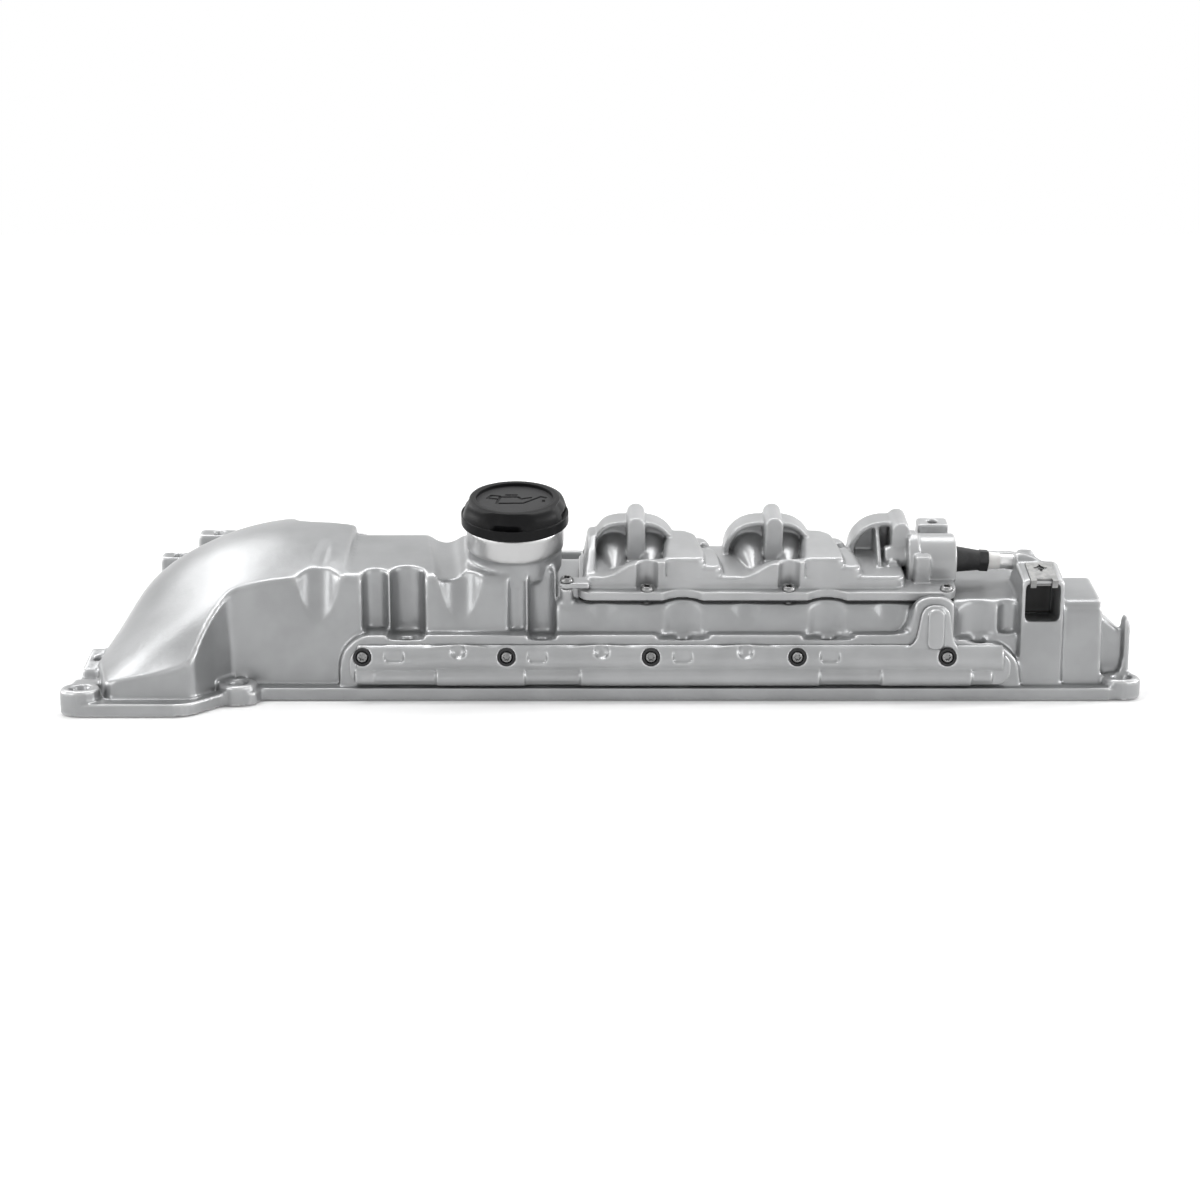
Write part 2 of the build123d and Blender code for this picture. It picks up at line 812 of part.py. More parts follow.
    # Screw holes
    with BuildSketch(front_plane(pad_face_y - 1)):
        with Locations(*[(x, rail_screw_z) for x in rail_screw_xs]):
            Circle(rail_screw_radius + screw_fit)
    extrude(amount=-9, mode=Mode.SUBTRACT)
    with BuildSketch(seat.offset(1)):
        with Locations(*front_screws, *rear_screws):
            Circle(separator_screw_radius + screw_fit)
    extrude(amount=-4.6, mode=Mode.SUBTRACT)
    with BuildSketch(seat.offset(ear_low_h + 1)):
        with Locations((ear_x, ear_s)):
            Circle(separator_screw_radius + screw_fit)
    extrude(amount=-10, mode=Mode.SUBTRACT)
    with BuildSketch(seat.offset(-baffle_drop - 1)):
        with Locations(*baffle_screw_places):
            Circle(baffle_screw_radius + screw_fit)
    extrude(amount=7, mode=Mode.SUBTRACT)
    with BuildSketch(top_plate.offset(-6)):
        with Locations((0, bracket_hole_s)):
            Circle(bracket_hole_radius)
    extrude(amount=12, mode=Mode.SUBTRACT)

    # Ports from the camshaft space up into the separator, and the oil channel behind the rail cover
    with BuildSketch(seat.offset(-8)):
        with Locations(*[(x, 34) for x in cyclone_xs]):
            SlotOverall(40, 12)
    extrude(amount=12, mode=Mode.SUBTRACT)
    with BuildSketch(front_plane(pad_face_y - 1)):
        with Locations(((pad_left + pad_right) / 2, channel_z)):
            RectangleRounded(pad_right - pad_left - 50, 9, 4.4)
    extrude(amount=-6, mode=Mode.SUBTRACT)

    # Groove for the perimeter gasket
    with BuildSketch(Plane.XY.offset(-1)):
        add(seal_line(groove_width / 2))
        add(seal_line(-groove_width / 2), mode=Mode.SUBTRACT)
    extrude(amount=groove_depth + 1, mode=Mode.SUBTRACT)

# Perimeter gasket, a square rubber cord in the groove
with BuildPart() as perimeter_gasket:
    with BuildSketch(Plane.XY.offset(gasket_foot)):
        add(seal_line(groove_width / 2 - gasket_clearance))
        add(seal_line(gasket_clearance - groove_width / 2), mode=Mode.SUBTRACT)
    extrude(amount=groove_depth - gasket_foot)

# Plug tube seals: a rubber ring with a lip in the foot of each well
plug_tube_seals = []
for x, y in well_centres:
    with BuildPart() as plug_tube_seal:
        foot = Plane(origin=(x, y, well_foot_z))
        with BuildSketch(foot):
            Circle(seal_seat_radius)
            Circle(seal_lip_radius, mode=Mode.SUBTRACT)
        extrude(amount=seal_seat_depth)
        with BuildSketch(foot.offset(2.5)):
            Circle(seal_seat_radius - 1.5)
            Circle(seal_lip_radius + 1.2, mode=Mode.SUBTRACT)
        extrude(amount=2.5, mode=Mode.SUBTRACT)
    plug_tube_seals.append(plug_tube_seal)

# Side rail
rail_foot_y = pad_face_y - rail_gasket_thickness
cover_args = (
    pad_left + rail_margin,
    pad_right - rail_margin,
    rail_low_z,
    rail_top_z,
    rail_top_z - 2,
    lobe_half - rail_margin + 1.5,
    lobe_top_z - rail_margin + 2,
    rail_corner,
    rail_corner - 1,
)
with BuildPart() as rail_cover:
    with BuildSketch(front_plane(rail_foot_y)):
        add(rail_outline(*cover_args))
        for x in rail_dimple_xs:
            with BuildLine():
                bulge = ThreePointArc(
                    (x - rail_bulge_half, rail_top_z - 0.5),
                    (x, rail_top_z + rail_bulge),
                    (x + rail_bulge_half, rail_top_z - 0.5),
                )
                Line(bulge @ 1, bulge @ 0)
            make_face()
    extrude(amount=rail_sheet)
    rail_length = pad_right - pad_left - 2 * rail_margin
    rail_middle = (pad_left + pad_right) / 2
    # Upper swell, full length
    with BuildSketch(Plane.YZ.offset(rail_middle - rail_length / 2 + 5)):
        with Locations((rail_foot_y - rail_sheet + 8.5, (rail_low_z + rail_top_z) / 2 + 4.5)):
            Circle(11)
    extrude(amount=rail_length - 10)
    # Lower channel, with longer raised lengths
    for x0, x1, radius in channel_lengths:
        with BuildSketch(Plane.YZ.offset(x0)):
            with Locations((rail_foot_y - rail_sheet + 2, channel_z)):
                Circle(radius)
        extrude(amount=x1 - x0)
    split(bisect_by=Plane.XZ.offset(-rail_foot_y), keep=Keep.TOP)
    # Arched riser in the lobe
    with BuildSketch(front_plane(rail_foot_y - rail_sheet + 0.5)):
        with Locations((lobe_x, (lobe_top_z + 26) / 2)):
            RectangleRounded(riser_width, 26, riser_width * 0.4)
    extrude(amount=2.6, taper=12)
    # Flat facets and round dimples along the upper edge
    with BuildSketch(front_plane(rail_foot_y - rail_sheet - rail_facet_depth)):
        with Locations(*[(x, rail_facet_low_z + 10) for x in rail_facet_xs]):
            RectangleRounded(rail_facet_width, 20, 2.5)
    extrude(amount=10, mode=Mode.SUBTRACT)
    with Locations(*[(x, rail_foot_y - rail_sheet - 3.6, rail_top_z - 0.6) for x in rail_dimple_xs]):
        Sphere(rail_dimple_radius, mode=Mode.SUBTRACT)
    with BuildSketch(front_plane(rail_foot_y - 20)):
        with Locations(*[(x, rail_screw_z) for x in rail_screw_xs]):
            Circle(rail_sink_radius)
    extrude(amount=-(20 - rail_sheet + 1.6), mode=Mode.SUBTRACT)
    with BuildSketch(front_plane(rail_foot_y - 20)):
        with Locations(*[(x, rail_screw_z) for x in rail_screw_xs]):
            Circle(rail_screw_radius + screw_hole_gap)
    extrude(amount=-30, mode=Mode.SUBTRACT)

with BuildPart() as rail_gasket:
    with BuildSketch(front_plane(pad_face_y)):
        add(rail_outline(*cover_args))
        offset(amount=-1.2, kind=Kind.INTERSECTION)
    extrude(amount=rail_gasket_thickness)
    with BuildSketch(front_plane(pad_face_y)):
        add(rail_outline(*cover_args))
        offset(amount=-4.2, kind=Kind.INTERSECTION)
        with Locations(*[(x, rail_screw_z) for x in rail_screw_xs]):
            Circle(rail_screw_radius + 3, mode=Mode.SUBTRACT)
    extrude(amount=rail_gasket_thickness, mode=Mode.SUBTRACT)
    with BuildSketch(front_plane(pad_face_y)):
        with Locations(*[(x, rail_screw_z) for x in rail_screw_xs]):
            Circle(rail_screw_radius + screw_hole_gap)
    extrude(amount=rail_gasket_thickness, mode=Mode.SUBTRACT)

with BuildPart() as rail_screws:
    for x in rail_screw_xs:
        head_plane = front_plane(rail_foot_y - rail_sheet + 1.4)
        with BuildSketch(head_plane):
            with Locations((x, rail_screw_z)):
                Circle(rail_head_radius)
        extrude(amount=3.2)
        with BuildSketch(head_plane.offset(1.8)):
            with Locations((x, rail_screw_z)):
                RegularPolygon(2.3, 6)
        extrude(amount=3, mode=Mode.SUBTRACT)
        with BuildSketch(head_plane):
            with Locations((x, rail_screw_z)):
                Circle(rail_screw_radius)
        extrude(amount=-rail_screw_length)


# Rubber ring round the head of each rail screw
with BuildPart() as rail_screw_seals:
    with BuildSketch(front_plane(rail_foot_y - 1.4 - rail_seal_fit)):
        with Locations(*[(x, rail_screw_z) for x in rail_screw_xs]):
            Circle(rail_sink_radius - rail_seal_fit)
            Circle(rail_head_radius + rail_seal_fit, mode=Mode.SUBTRACT)
    extrude(amount=rail_sheet - 1.4 + rail_seal_proud)


def separator_outline(inset=0.0):
    """Outline of the separator's flange, waved in at each wrench pocket. With an inset it is smaller all round."""
    length = separator_right - separator_left
    depth = separator_far - separator_near
    with BuildSketch(Plane.XY) as outline:
        with Locations((separator_left + length / 2, separator_near + depth / 2)):
            RectangleRounded(length - 2 * inset, depth - 2 * inset, 9 - inset)
        if inset < 2:
            with Locations(*rear_screws):
                Circle(5.5 - inset)
        for i in pocket_bolts:
            x, radius, reach, _ = pockets[i]
            if x > separator_left:
                with Locations((x, intake_wall + reach - radius - seat_top_y + 1.2)):
                    Circle(radius + inset, mode=Mode.SUBTRACT)
        fillet(outline.vertices().filter_by(
            lambda v: separator_left + 12 < v.X < separator_right - 12 and v.Y < 4 + inset), 4)
    return outline.sketch


def deck(inset=0.0):
    """The flat box over the separator's chamber. With an inset it is the space inside."""
    length = chamber_right - chamber_left
    foot = -1 if inset else separator_flange
    with BuildPart() as box:
        with BuildSketch(Plane.XY.offset(foot)):
            with Locations((chamber_left + length / 2, (chamber_near + chamber_far) / 2)):
                RectangleRounded(length - 2 * inset, chamber_far - chamber_near - 2 * inset, 7 - inset)
        extrude(amount=deck_height - inset - foot)
        if not inset:
            fillet(box.edges().group_by(Axis.Z)[-1], 2.5)
    return box.part


def swell(outline, height, inset=0.0):
    """A rounded swelling that stands on the deck. With an inset it is the space inside."""
    foot = deck_height - separator_wall - 1 if inset else separator_flange
    with BuildPart() as mass:
        with BuildSketch(Plane.XY.offset(foot)):
            with BuildLine():
                FilletPolyline(*outline, radius=7, close=True)
            make_face()
            if inset:
                offset(amount=-inset - 1, kind=Kind.INTERSECTION)
        extrude(amount=height - inset - foot, taper=5)
        if not inset:
            fillet(mass.edges().group_by(Axis.Z)[-1], 3.5)
    return mass.part


def swell_outlines(x):
    """Outlines of the large and the small swell to the right of the cones at x."""
    large = ((15, 6.5), (44.5, 6.5), (44.5, 22), (40, 52), (32, 59), (18, 59))
    small = ((36, 6.5), (55.5, 6.5), (54, 28), (46, 59), (30, 59))
    return [[(x + dx, y) for dx, y in outline] for outline in (large, small)]


def hood_outline(x, inset=0.0):
    """The arched front of a hood, seen along Y."""
    with BuildSketch() as arch:
        with Locations((x + hood_shift, hood_top - hood_width / 2)):
            RectangleRounded(hood_width - 2 * inset, hood_width - 2 * inset, hood_corner - inset)
    return arch.sketch


def cones(inset=0.0):
    """Each cyclone's two cones, that lie on the deck with their tips to the front."""
    with BuildPart() as funnels:
        for x in cyclone_xs:
            for dx in (-cone_spread, cone_spread):
                for at, radius in ((cone_foot, cone_radius - inset), (cone_tip + 2 * inset, 1.4)):
                    with BuildSketch(Plane.XZ.offset(-at)):
                        with Locations((x + hood_shift + dx, deck_height)):
                            Circle(radius)
                loft()
    return funnels.part


def rise_profile(x, ceiling):
    """Front view of the wall's climb from the left cone's tip to the screw pocket, up to a ceiling."""
    crest = ((-29, 9), (-24, 13.5), (-14, 16.5), (-6, 22), (0, 24), (18, 25))
    foot = separator_flange - 1
    with BuildSketch() as view:
        with BuildLine():
            Polyline((x - 29, foot), *[(x + dx, min(h, ceiling)) for dx, h in crest], (x + 18, foot), close=True)
        make_face()
    return view.sketch


def front_rise(x):
    """The front wall's climb, that slopes back down to the deck behind its crest."""
    with BuildPart() as climb:
        with BuildSketch(Plane.XZ.offset(-chamber_near)):
            add(rise_profile(x, hood_top))
        extrude(amount=chamber_near - 13)
        with BuildSketch(Plane.XZ.offset(-13)):
            add(rise_profile(x, hood_top))
        with BuildSketch(Plane.XZ.offset(-27)):
            add(rise_profile(x, deck_height - 1))
        loft(ruled=True)
    return climb.part


with BuildPart() as separator_hollow:
    add(deck(separator_wall))
    for x in cyclone_xs:
        add(swell(swell_outlines(x)[0], swell_height, separator_wall))
    add(cones(separator_wall))
    with BuildSketch(Plane.XY):
        with Locations(*front_screws):
            Circle(screw_pocket_radius + separator_wall)
    extrude(amount=40, mode=Mode.SUBTRACT)

with BuildPart() as separator_local:
    # Hoods, each with a recess that the cones come out of; the last stops at the regulator
    for x in (*cyclone_xs, end_rib_x):
        with BuildSketch(Plane.XZ.offset(-hood_front)):
            add(hood_outline(x))
        extrude(amount=hood_front - chamber_far)
        with BuildSketch(Plane.XZ.offset(-hood_front)):
            add(hood_outline(x, hood_rim))
        extrude(amount=-hood_recess, mode=Mode.SUBTRACT)
    split(bisect_by=Plane.XY.offset(separator_flange - 1), keep=Keep.TOP)
    split(bisect_by=Plane.YZ.offset(end_rib_x + 4), keep=Keep.BOTTOM)
    with BuildSketch(Plane.XY.offset(separator_gasket_thickness)):
        add(separator_outline())
    extrude(amount=separator_flange - separator_gasket_thickness)
    add(deck())
    # Wall at the left end, that climbs to the first hood
    with BuildSketch(Plane.YZ.offset(chamber_left)):
        with BuildLine():
            FilletPolyline((9, 8), (9, 13), (30, 24), (44, 28), (59, 28), (59, 8), radius=1.5, close=True)
        make_face()
    extrude(amount=7)
    for x in cyclone_xs:
        for outline, height in zip(swell_outlines(x), (swell_height, side_swell_height)):
            add(swell(outline, height))
        add(front_rise(x))
    add(cones())
    # Housing of the pressure regulator, square below its axis, with its neck, web and post
    with BuildSketch(Plane.YZ.offset(regulator_left)):
        with Locations((regulator_s, regulator_h)):
            Circle(regulator_radius)
        with Locations((regulator_s, (regulator_h + separator_flange) / 2)):
            Rectangle(2 * regulator_radius, regulator_h - separator_flange)
    extrude(amount=regulator_right - regulator_left)
    with BuildSketch(Plane.YZ.offset(regulator_left - 4)):
        with Locations((regulator_s, regulator_h)):
            Circle(regulator_radius + 2)
    extrude(amount=7)
    with BuildSketch(Plane.YZ.offset(regulator_left - 18)):
        with Locations((regulator_s - 2, regulator_h + 3)):
            Circle(6.7)
    extrude(amount=18)
    with BuildSketch(Plane.XZ.offset(-24)):
        with Locations((regulator_left - 13, regulator_h + 1)):
            Circle(3.4)
    extrude(amount=-8)
    with BuildSketch(Plane.YZ.offset(regulator_left - 23)):
        with BuildLine():
            Polyline((22, 12), (24, 19), (44, 34), (52, 34), (52, 12), close=True)
        make_face()
    extrude(amount=2.6)
    with BuildSketch(Plane.XY.offset(separator_flange)):
        with Locations((regulator_left + 4.5, regulator_s - regulator_radius - 2)):
            RectangleRounded(10.5, 8, 2.5)
    extrude(amount=18)
    split(bisect_by=Plane.XY.offset(separator_gasket_thickness), keep=Keep.TOP)
    # Ear of the end screw
    with BuildSketch(Plane.XY.offset(ear_low_h)):
        with Locations((ear_x, ear_s)):
            Circle(ear_radius)
        with Locations(((ear_x + chamber_left + 4) / 2, ear_s + 1)):
            Rectangle(chamber_left + 4 - ear_x, 2 * ear_radius)
    extrude(amount=ear_sheet)
    # Lug behind the regulator
    with BuildSketch(Plane.XY.offset(separator_flange)):
        with Locations((rear_lug_x, rear_lug_s)):
            RectangleRounded(20, 13, 2)
    extrude(amount=rear_lug_height - separator_flange)
    add(separator_hollow.part, mode=Mode.SUBTRACT)
    # Thumb ribs
    for x, top in (*[(x, rib_top) for x in cyclone_xs], (end_rib_x, end_rib_top)):
        with BuildSketch(Plane.XZ.offset(-rib_front)):
            with Locations((x, (top + deck_height) / 2)):
                RectangleRounded(rib_width, top - deck_height + 4, rib_width * 0.48)
        extrude(amount=rib_front - rib_back)
    # Notches beside the hoods and pockets for the front screws
    with BuildSketch(Plane.XY.offset(notch_floor)):
        with Locations(*[(x + 46, 43) for x in cyclone_xs]):
            Circle(notch_radius)
    extrude(amount=20, mode=Mode.SUBTRACT)
    with BuildSketch(Plane.XY.offset(separator_flange)):
        with Locations(*front_screws):
            Circle(screw_pocket_radius)
    extrude(amount=40, mode=Mode.SUBTRACT)
    with BuildSketch(Plane.XY):
        with Locations(*front_screws, *rear_screws, (ear_x, ear_s)):
            Circle(separator_screw_radius + screw_hole_gap)
    extrude(amount=60, mode=Mode.SUBTRACT)
    with BuildSketch(Plane.XY.offset(rear_lug_height - 8)):
        with Locations((rear_lug_x, rear_lug_s)):
            Circle(lug_hole_radius)
    extrude(amount=20, mode=Mode.SUBTRACT)
    # Bore of the regulator
    with BuildSketch(Plane.YZ.offset(regulator_left + 4)):
        with Locations((regulator_s, regulator_h)):
            Circle(regulator_bore)
    extrude(amount=40, mode=Mode.SUBTRACT)


with BuildPart() as separator_cover:
    add(separator_local.part.moved(Location(seat)))

with BuildPart() as separator_gasket_local:
    with BuildSketch():
        add(separator_outline(0.8))
        add(separator_outline(4.6), mode=Mode.SUBTRACT)
        with Locations(*front_screws, *rear_screws):
            Circle(4.7)
        with Locations(*front_screws, *rear_screws):
            Circle(separator_screw_radius + screw_hole_gap, mode=Mode.SUBTRACT)
    extrude(amount=separator_gasket_thickness)
with BuildPart() as separator_gasket:
    add(separator_gasket_local.part.moved(Location(seat)))

# Screws of the separator, dome-headed with a socket
with BuildPart() as separator_screws_local:
    screw_places = [(x, s, separator_flange) for x, s in (*front_screws, *rear_screws)]
    screw_places.append((ear_x, ear_s, ear_low_h + ear_sheet))
    for x, s, h in screw_places:
        with BuildSketch(Plane(origin=(x, s, h))):
            Circle(separator_head_radius)
        extrude(amount=separator_head_height)
        with BuildSketch(Plane(origin=(x, s, h + separator_head_height - 1.8))):
            RegularPolygon(2.1, 6)
        extrude(amount=2, mode=Mode.SUBTRACT)
        with BuildSketch(Plane(origin=(x, s, h))):
            Circle(separator_screw_radius)
        extrude(amount=-separator_screw_length + 0.9)
with BuildPart() as separator_screws:
    add(separator_screws_local.part.moved(Location(seat)))

# Oil baffle under the intake roof, a folded sheet on four posts, with its drain slots
with BuildPart() as baffle_plate_local:
    with BuildSketch(Plane.XY.offset(-baffle_drop)):
        with Locations((baffle_x, baffle_s)):
            RectangleRounded(baffle_length, baffle_width, 6)
    extrude(amount=-6)
    with BuildSketch(Plane.XY.offset(-baffle_drop - baffle_sheet)):
        with Locations((baffle_x, baffle_s)):
            RectangleRounded(baffle_length - 2 * baffle_sheet, baffle_width - 2 * baffle_sheet, 6 - baffle_sheet)
    extrude(amount=-6, mode=Mode.SUBTRACT)
    with BuildSketch(Plane.XY.offset(-baffle_drop + 1)):
        with Locations(*[(baffle_x + 30 * i, baffle_s) for i in range(-2, 3)]):
            SlotOverall(18, 4.5)
        with Locations(*baffle_screw_places):
            Circle(baffle_screw_radius + screw_hole_gap)
    extrude(amount=-5, mode=Mode.SUBTRACT)
with BuildPart() as baffle_plate:
    add(baffle_plate_local.part.moved(Location(seat)))

with BuildPart() as baffle_screws_local:
    for x, s in baffle_screw_places:
        with BuildSketch(Plane(origin=(x, s, -baffle_drop - baffle_sheet))):
            Circle(3.6)
        extrude(amount=-2.4)
        with BuildSketch(Plane(origin=(x, s, -baffle_drop - baffle_sheet))):
            Circle(baffle_screw_radius)
        extrude(amount=baffle_sheet + 5.5)
with BuildPart() as baffle_screws:
    add(baffle_screws_local.part.moved(Location(seat)))


# Crankcase pressure regulator: cap, diaphragm, plunger and spring on one axis along the engine
def regulator_disc(x, radius, inner, length):
    """A turned ring or disc on the regulator's axis, from x along the engine."""
    with BuildPart() as disc:
        with BuildSketch(Plane.YZ.offset(x)):
            with Locations((axis_point[1], axis_point[2])):
                Circle(radius)
                if inner:
                    Circle(inner, mode=Mode.SUBTRACT)
        extrude(amount=length)
    return disc.part


with BuildPart() as regulator_cap:
    add(regulator_disc(regulator_right - 2, regulator_bore, 0, 2))
    add(regulator_disc(regulator_right - 6, regulator_bore, regulator_bore - 1.5, 4.1))
    add(regulator_disc(regulator_right - 1, hose_seat_radius, 0, 1 + hose_seat_length))
    add(regulator_disc(regulator_right - 3, 2.6, 0, 20), mode=Mode.SUBTRACT)

with BuildPart() as regulator_diaphragm:
    add(regulator_disc(regulator_right - 7.2, regulator_bore, plunger_stem + 3.0, 1.2))

with BuildPart() as regulator_plunger:
    add(regulator_disc(regulator_right - 9.7, plunger_head, 0, 2.2))
    add(regulator_disc(regulator_right - 9.7, plunger_stem + 2.5, 0, 4.3))
    add(regulator_disc(regulator_left + 7.5, plunger_stem, 0, regulator_right - regulator_left - 17))

# The spring's coils stand between the housing's floor and the plunger's head
spring_room = regulator_right - 9.7 - (regulator_left + 4)
spring_pitch = (spring_room - 2 * spring_wire - 0.2) / spring_turns
spring_foot = Plane(
    origin=(regulator_left + 4 + spring_wire + 0.1, axis_point[1], axis_point[2]), x_dir=(0, 1, 0), z_dir=(1, 0, 0)
)
with BuildPart() as regulator_spring_local:
    with BuildLine():
        coil = Helix(pitch=spring_pitch, height=spring_pitch * spring_turns, radius=spring_radius)
    with BuildSketch(Plane(origin=coil @ 0, z_dir=coil % 0)):
        Circle(spring_wire)
    sweep(path=coil, is_frenet=True)
with BuildPart() as regulator_spring:
    add(regulator_spring_local.part.moved(Location(spring_foot)))


# Vent line: rubber hose end with a hexagonal grip, moulded coupling and steel nipple
def vent_ring(start, steps, inner):
    """Rings in a row along the vent line: length, first and last radius of each, all with one bore."""
    with BuildPart() as ring:
        at = start
        for length, r0, r1 in steps:
            with BuildSketch(vent_axis.offset(at)):
                Circle(r0)
            with BuildSketch(vent_axis.offset(at + length)):
                Circle(r1)
            loft()
            at += length
        with BuildSketch(vent_axis.offset(start - 1)):
            Circle(inner)
        extrude(amount=at - start + 2, mode=Mode.SUBTRACT)
    return ring.part


with BuildPart() as vent_hose:
    add(vent_ring(hose_start, ((hose_taper, 8.4, 6.4),), hose_seat_radius + 0.4))
    with BuildSketch(vent_axis.offset(hose_start + hose_taper)):
        RegularPolygon(7.4, 6)
        Circle(hose_seat_radius + 0.4, mode=Mode.SUBTRACT)
    extrude(amount=hose_grip)
coupling_start = hose_start + hose_taper + hose_grip - 4.4
with BuildPart() as vent_coupling:
    add(vent_ring(coupling_start, ((4.4, 4.7, 4.7), (1.5, 5.7, 5.7), (6.0, 5.3, 5.3)), 3.4))
with BuildPart() as vent_nipple:
    add(vent_ring(coupling_start + 11.9, ((vent_nipple_length, nipple_radius, nipple_radius),), 3.6))

# Spring-steel clip nut, pushed over the bracket's top plate from the front
rise = radians(bracket_slope)
clip_plane = Plane(origin=top_plate.origin, x_dir=(0, cos(rise), sin(rise)), z_dir=(1, 0, 0))
plate = bracket_sheet * cos(rise)
clip_bow = -bracket_sheet * sin(rise) - clip_gap
with BuildPart() as clip_nut:
    with BuildSketch(clip_plane):
        with BuildLine():
            Polyline(
                (clip_bow - clip_sheet, clip_sheet + clip_gap),
                (clip_length, clip_sheet + clip_gap),
                (clip_length, clip_gap),
                (clip_bow, clip_gap),
                (clip_bow, -plate - clip_gap),
                (clip_length, -plate - clip_gap),
                (clip_length, -plate - clip_gap - clip_sheet),
                (clip_bow - clip_sheet, -plate - clip_gap - clip_sheet),
                close=True,
            )
        make_face()
    extrude(amount=clip_width / 2, both=True)
    with BuildSketch(top_plate.offset(-plate - clip_gap - clip_sheet + 0.2)):
        with Locations((0, bracket_hole_s)):
            Circle(4.8)
    extrude(amount=-3.6)
    with BuildSketch(top_plate.offset(-20)):
        with Locations((0, bracket_hole_s)):
            Circle(bracket_hole_radius - 0.6)
    extrude(amount=40, mode=Mode.SUBTRACT)

# Oil filler cap: a dished disc with finger scoops, a plug with two bayonet lugs, and its seal ring
ceiling = spout_high - collar_high + seal_ring_thickness
with BuildPart() as filler_cap_local:
    with BuildSketch(Plane.XZ):
        with BuildLine():
            Polyline(
                (plug_radius - 3, -plug_depth),
                (plug_radius, -plug_depth),
                (plug_radius, ceiling),
                (spout_radius + cap_gap, ceiling),
                (spout_radius + cap_gap, 0),
                (cap_radius - 0.6, 0),
                (cap_radius, 1),
                (cap_radius, cap_band),
                (cap_radius - 1.5, cap_band + 4),
                (cap_dish_radius + 4.5, cap_height - 1.4),
                (cap_dish_radius + 2, cap_height),
                (cap_dish_radius, cap_height),
                (cap_dish_radius - 0.6, cap_height - cap_dish_depth),
                (0, cap_height - cap_dish_depth),
                (0, ceiling + 1.5),
                (plug_radius - 3, ceiling + 1.5),
                close=True,
            )
        make_face()
    revolve(axis=Axis.Z)
    with BuildSketch(Plane.XY.offset(lug_low)):
        add(lug_sectors(0, 0))
        Circle(plug_radius - 1, mode=Mode.SUBTRACT)
    extrude(amount=lug_height)
    with PolarLocations(cap_radius + scoop_radius - scoop_depth, cap_scoops, start_angle=cap_scoop_angle):
        Cone(scoop_radius, scoop_radius + 5, 24, align=(Align.CENTER, Align.CENTER, Align.MIN), mode=Mode.SUBTRACT)
with BuildPart() as filler_cap:
    add(filler_cap_local.part.moved(Location(cap_plane)))

with BuildPart() as filler_cap_seal:
    with BuildSketch(cap_plane.offset(ceiling - seal_ring_thickness)):
        Circle(spout_radius)
        Circle(plug_radius + 0.2, mode=Mode.SUBTRACT)
    extrude(amount=seal_ring_thickness)

pieces = {
    "cover_casting": cover_casting,
    "perimeter_gasket": perimeter_gasket,
    "rail_cover": rail_cover,
    "rail_gasket": rail_gasket,
    "rail_screws": rail_screws,
    "rail_screw_seals": rail_screw_seals,
    "separator_cover": separator_cover,
    "separator_gasket": separator_gasket,
    "separator_screws": separator_screws,
    "baffle_plate": baffle_plate,
    "baffle_screws": baffle_screws,
    "regulator_cap": regulator_cap,
    "regulator_diaphragm": regulator_diaphragm,
    "regulator_plunger": regulator_plunger,
    "regulator_spring": regulator_spring,
    "vent_hose": vent_hose,
    "vent_coupling": vent_coupling,
    "vent_nipple": vent_nipple,
    "clip_nut": clip_nut,
    "filler_cap": filler_cap,
    "filler_cap_seal": filler_cap_seal,
}
for i, plug_tube_seal in enumerate(plug_tube_seals):
    pieces[f"plug_tube_seal_{i + 1}"] = plug_tube_seal

os.makedirs("parts", exist_ok=True)
for name, piece in pieces.items():
    piece.part.label = name
    export_step(piece.part, f"parts/{name}.step")
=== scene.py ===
from math import cos, pi, prod, radians, sin

import bmesh
import bpy
import numpy as np
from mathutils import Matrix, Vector


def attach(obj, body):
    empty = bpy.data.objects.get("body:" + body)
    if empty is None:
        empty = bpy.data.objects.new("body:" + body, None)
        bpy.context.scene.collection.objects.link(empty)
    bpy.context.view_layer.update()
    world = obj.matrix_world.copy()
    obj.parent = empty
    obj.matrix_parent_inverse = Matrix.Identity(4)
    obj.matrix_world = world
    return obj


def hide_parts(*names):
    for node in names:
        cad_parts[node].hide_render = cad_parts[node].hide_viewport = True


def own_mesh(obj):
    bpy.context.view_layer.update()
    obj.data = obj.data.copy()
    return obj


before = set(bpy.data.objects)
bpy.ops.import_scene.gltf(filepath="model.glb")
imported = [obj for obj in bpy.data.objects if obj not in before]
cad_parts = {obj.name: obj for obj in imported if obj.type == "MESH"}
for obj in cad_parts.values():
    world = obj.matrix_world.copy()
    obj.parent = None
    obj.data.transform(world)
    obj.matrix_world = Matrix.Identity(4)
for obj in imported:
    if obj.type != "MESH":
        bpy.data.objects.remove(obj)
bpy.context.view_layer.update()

# Studio. A white sweep lit by soft boxes above, behind and at both sides, with the camera low in
# front of the cover, as a catalogue picture is taken.
scene = bpy.context.scene
scene.view_settings.view_transform = "Standard"


def linked(name, data):
    """A new object in the scene."""
    thing = bpy.data.objects.new(name, data)
    scene.collection.objects.link(thing)
    return thing


view_tilt = radians(12.5)
view_distance = 1.34
view_aim = Vector((-0.005, 0.0, 0.0465))
camera = linked("camera", bpy.data.cameras.new("camera"))
camera.data.sensor_width = 36.0
camera.data.lens = 60.84
camera.location = view_aim + view_distance * Vector((0, -cos(view_tilt), sin(view_tilt)))
camera.rotation_euler = (pi / 2 - view_tilt, 0, 0)
scene.camera = camera


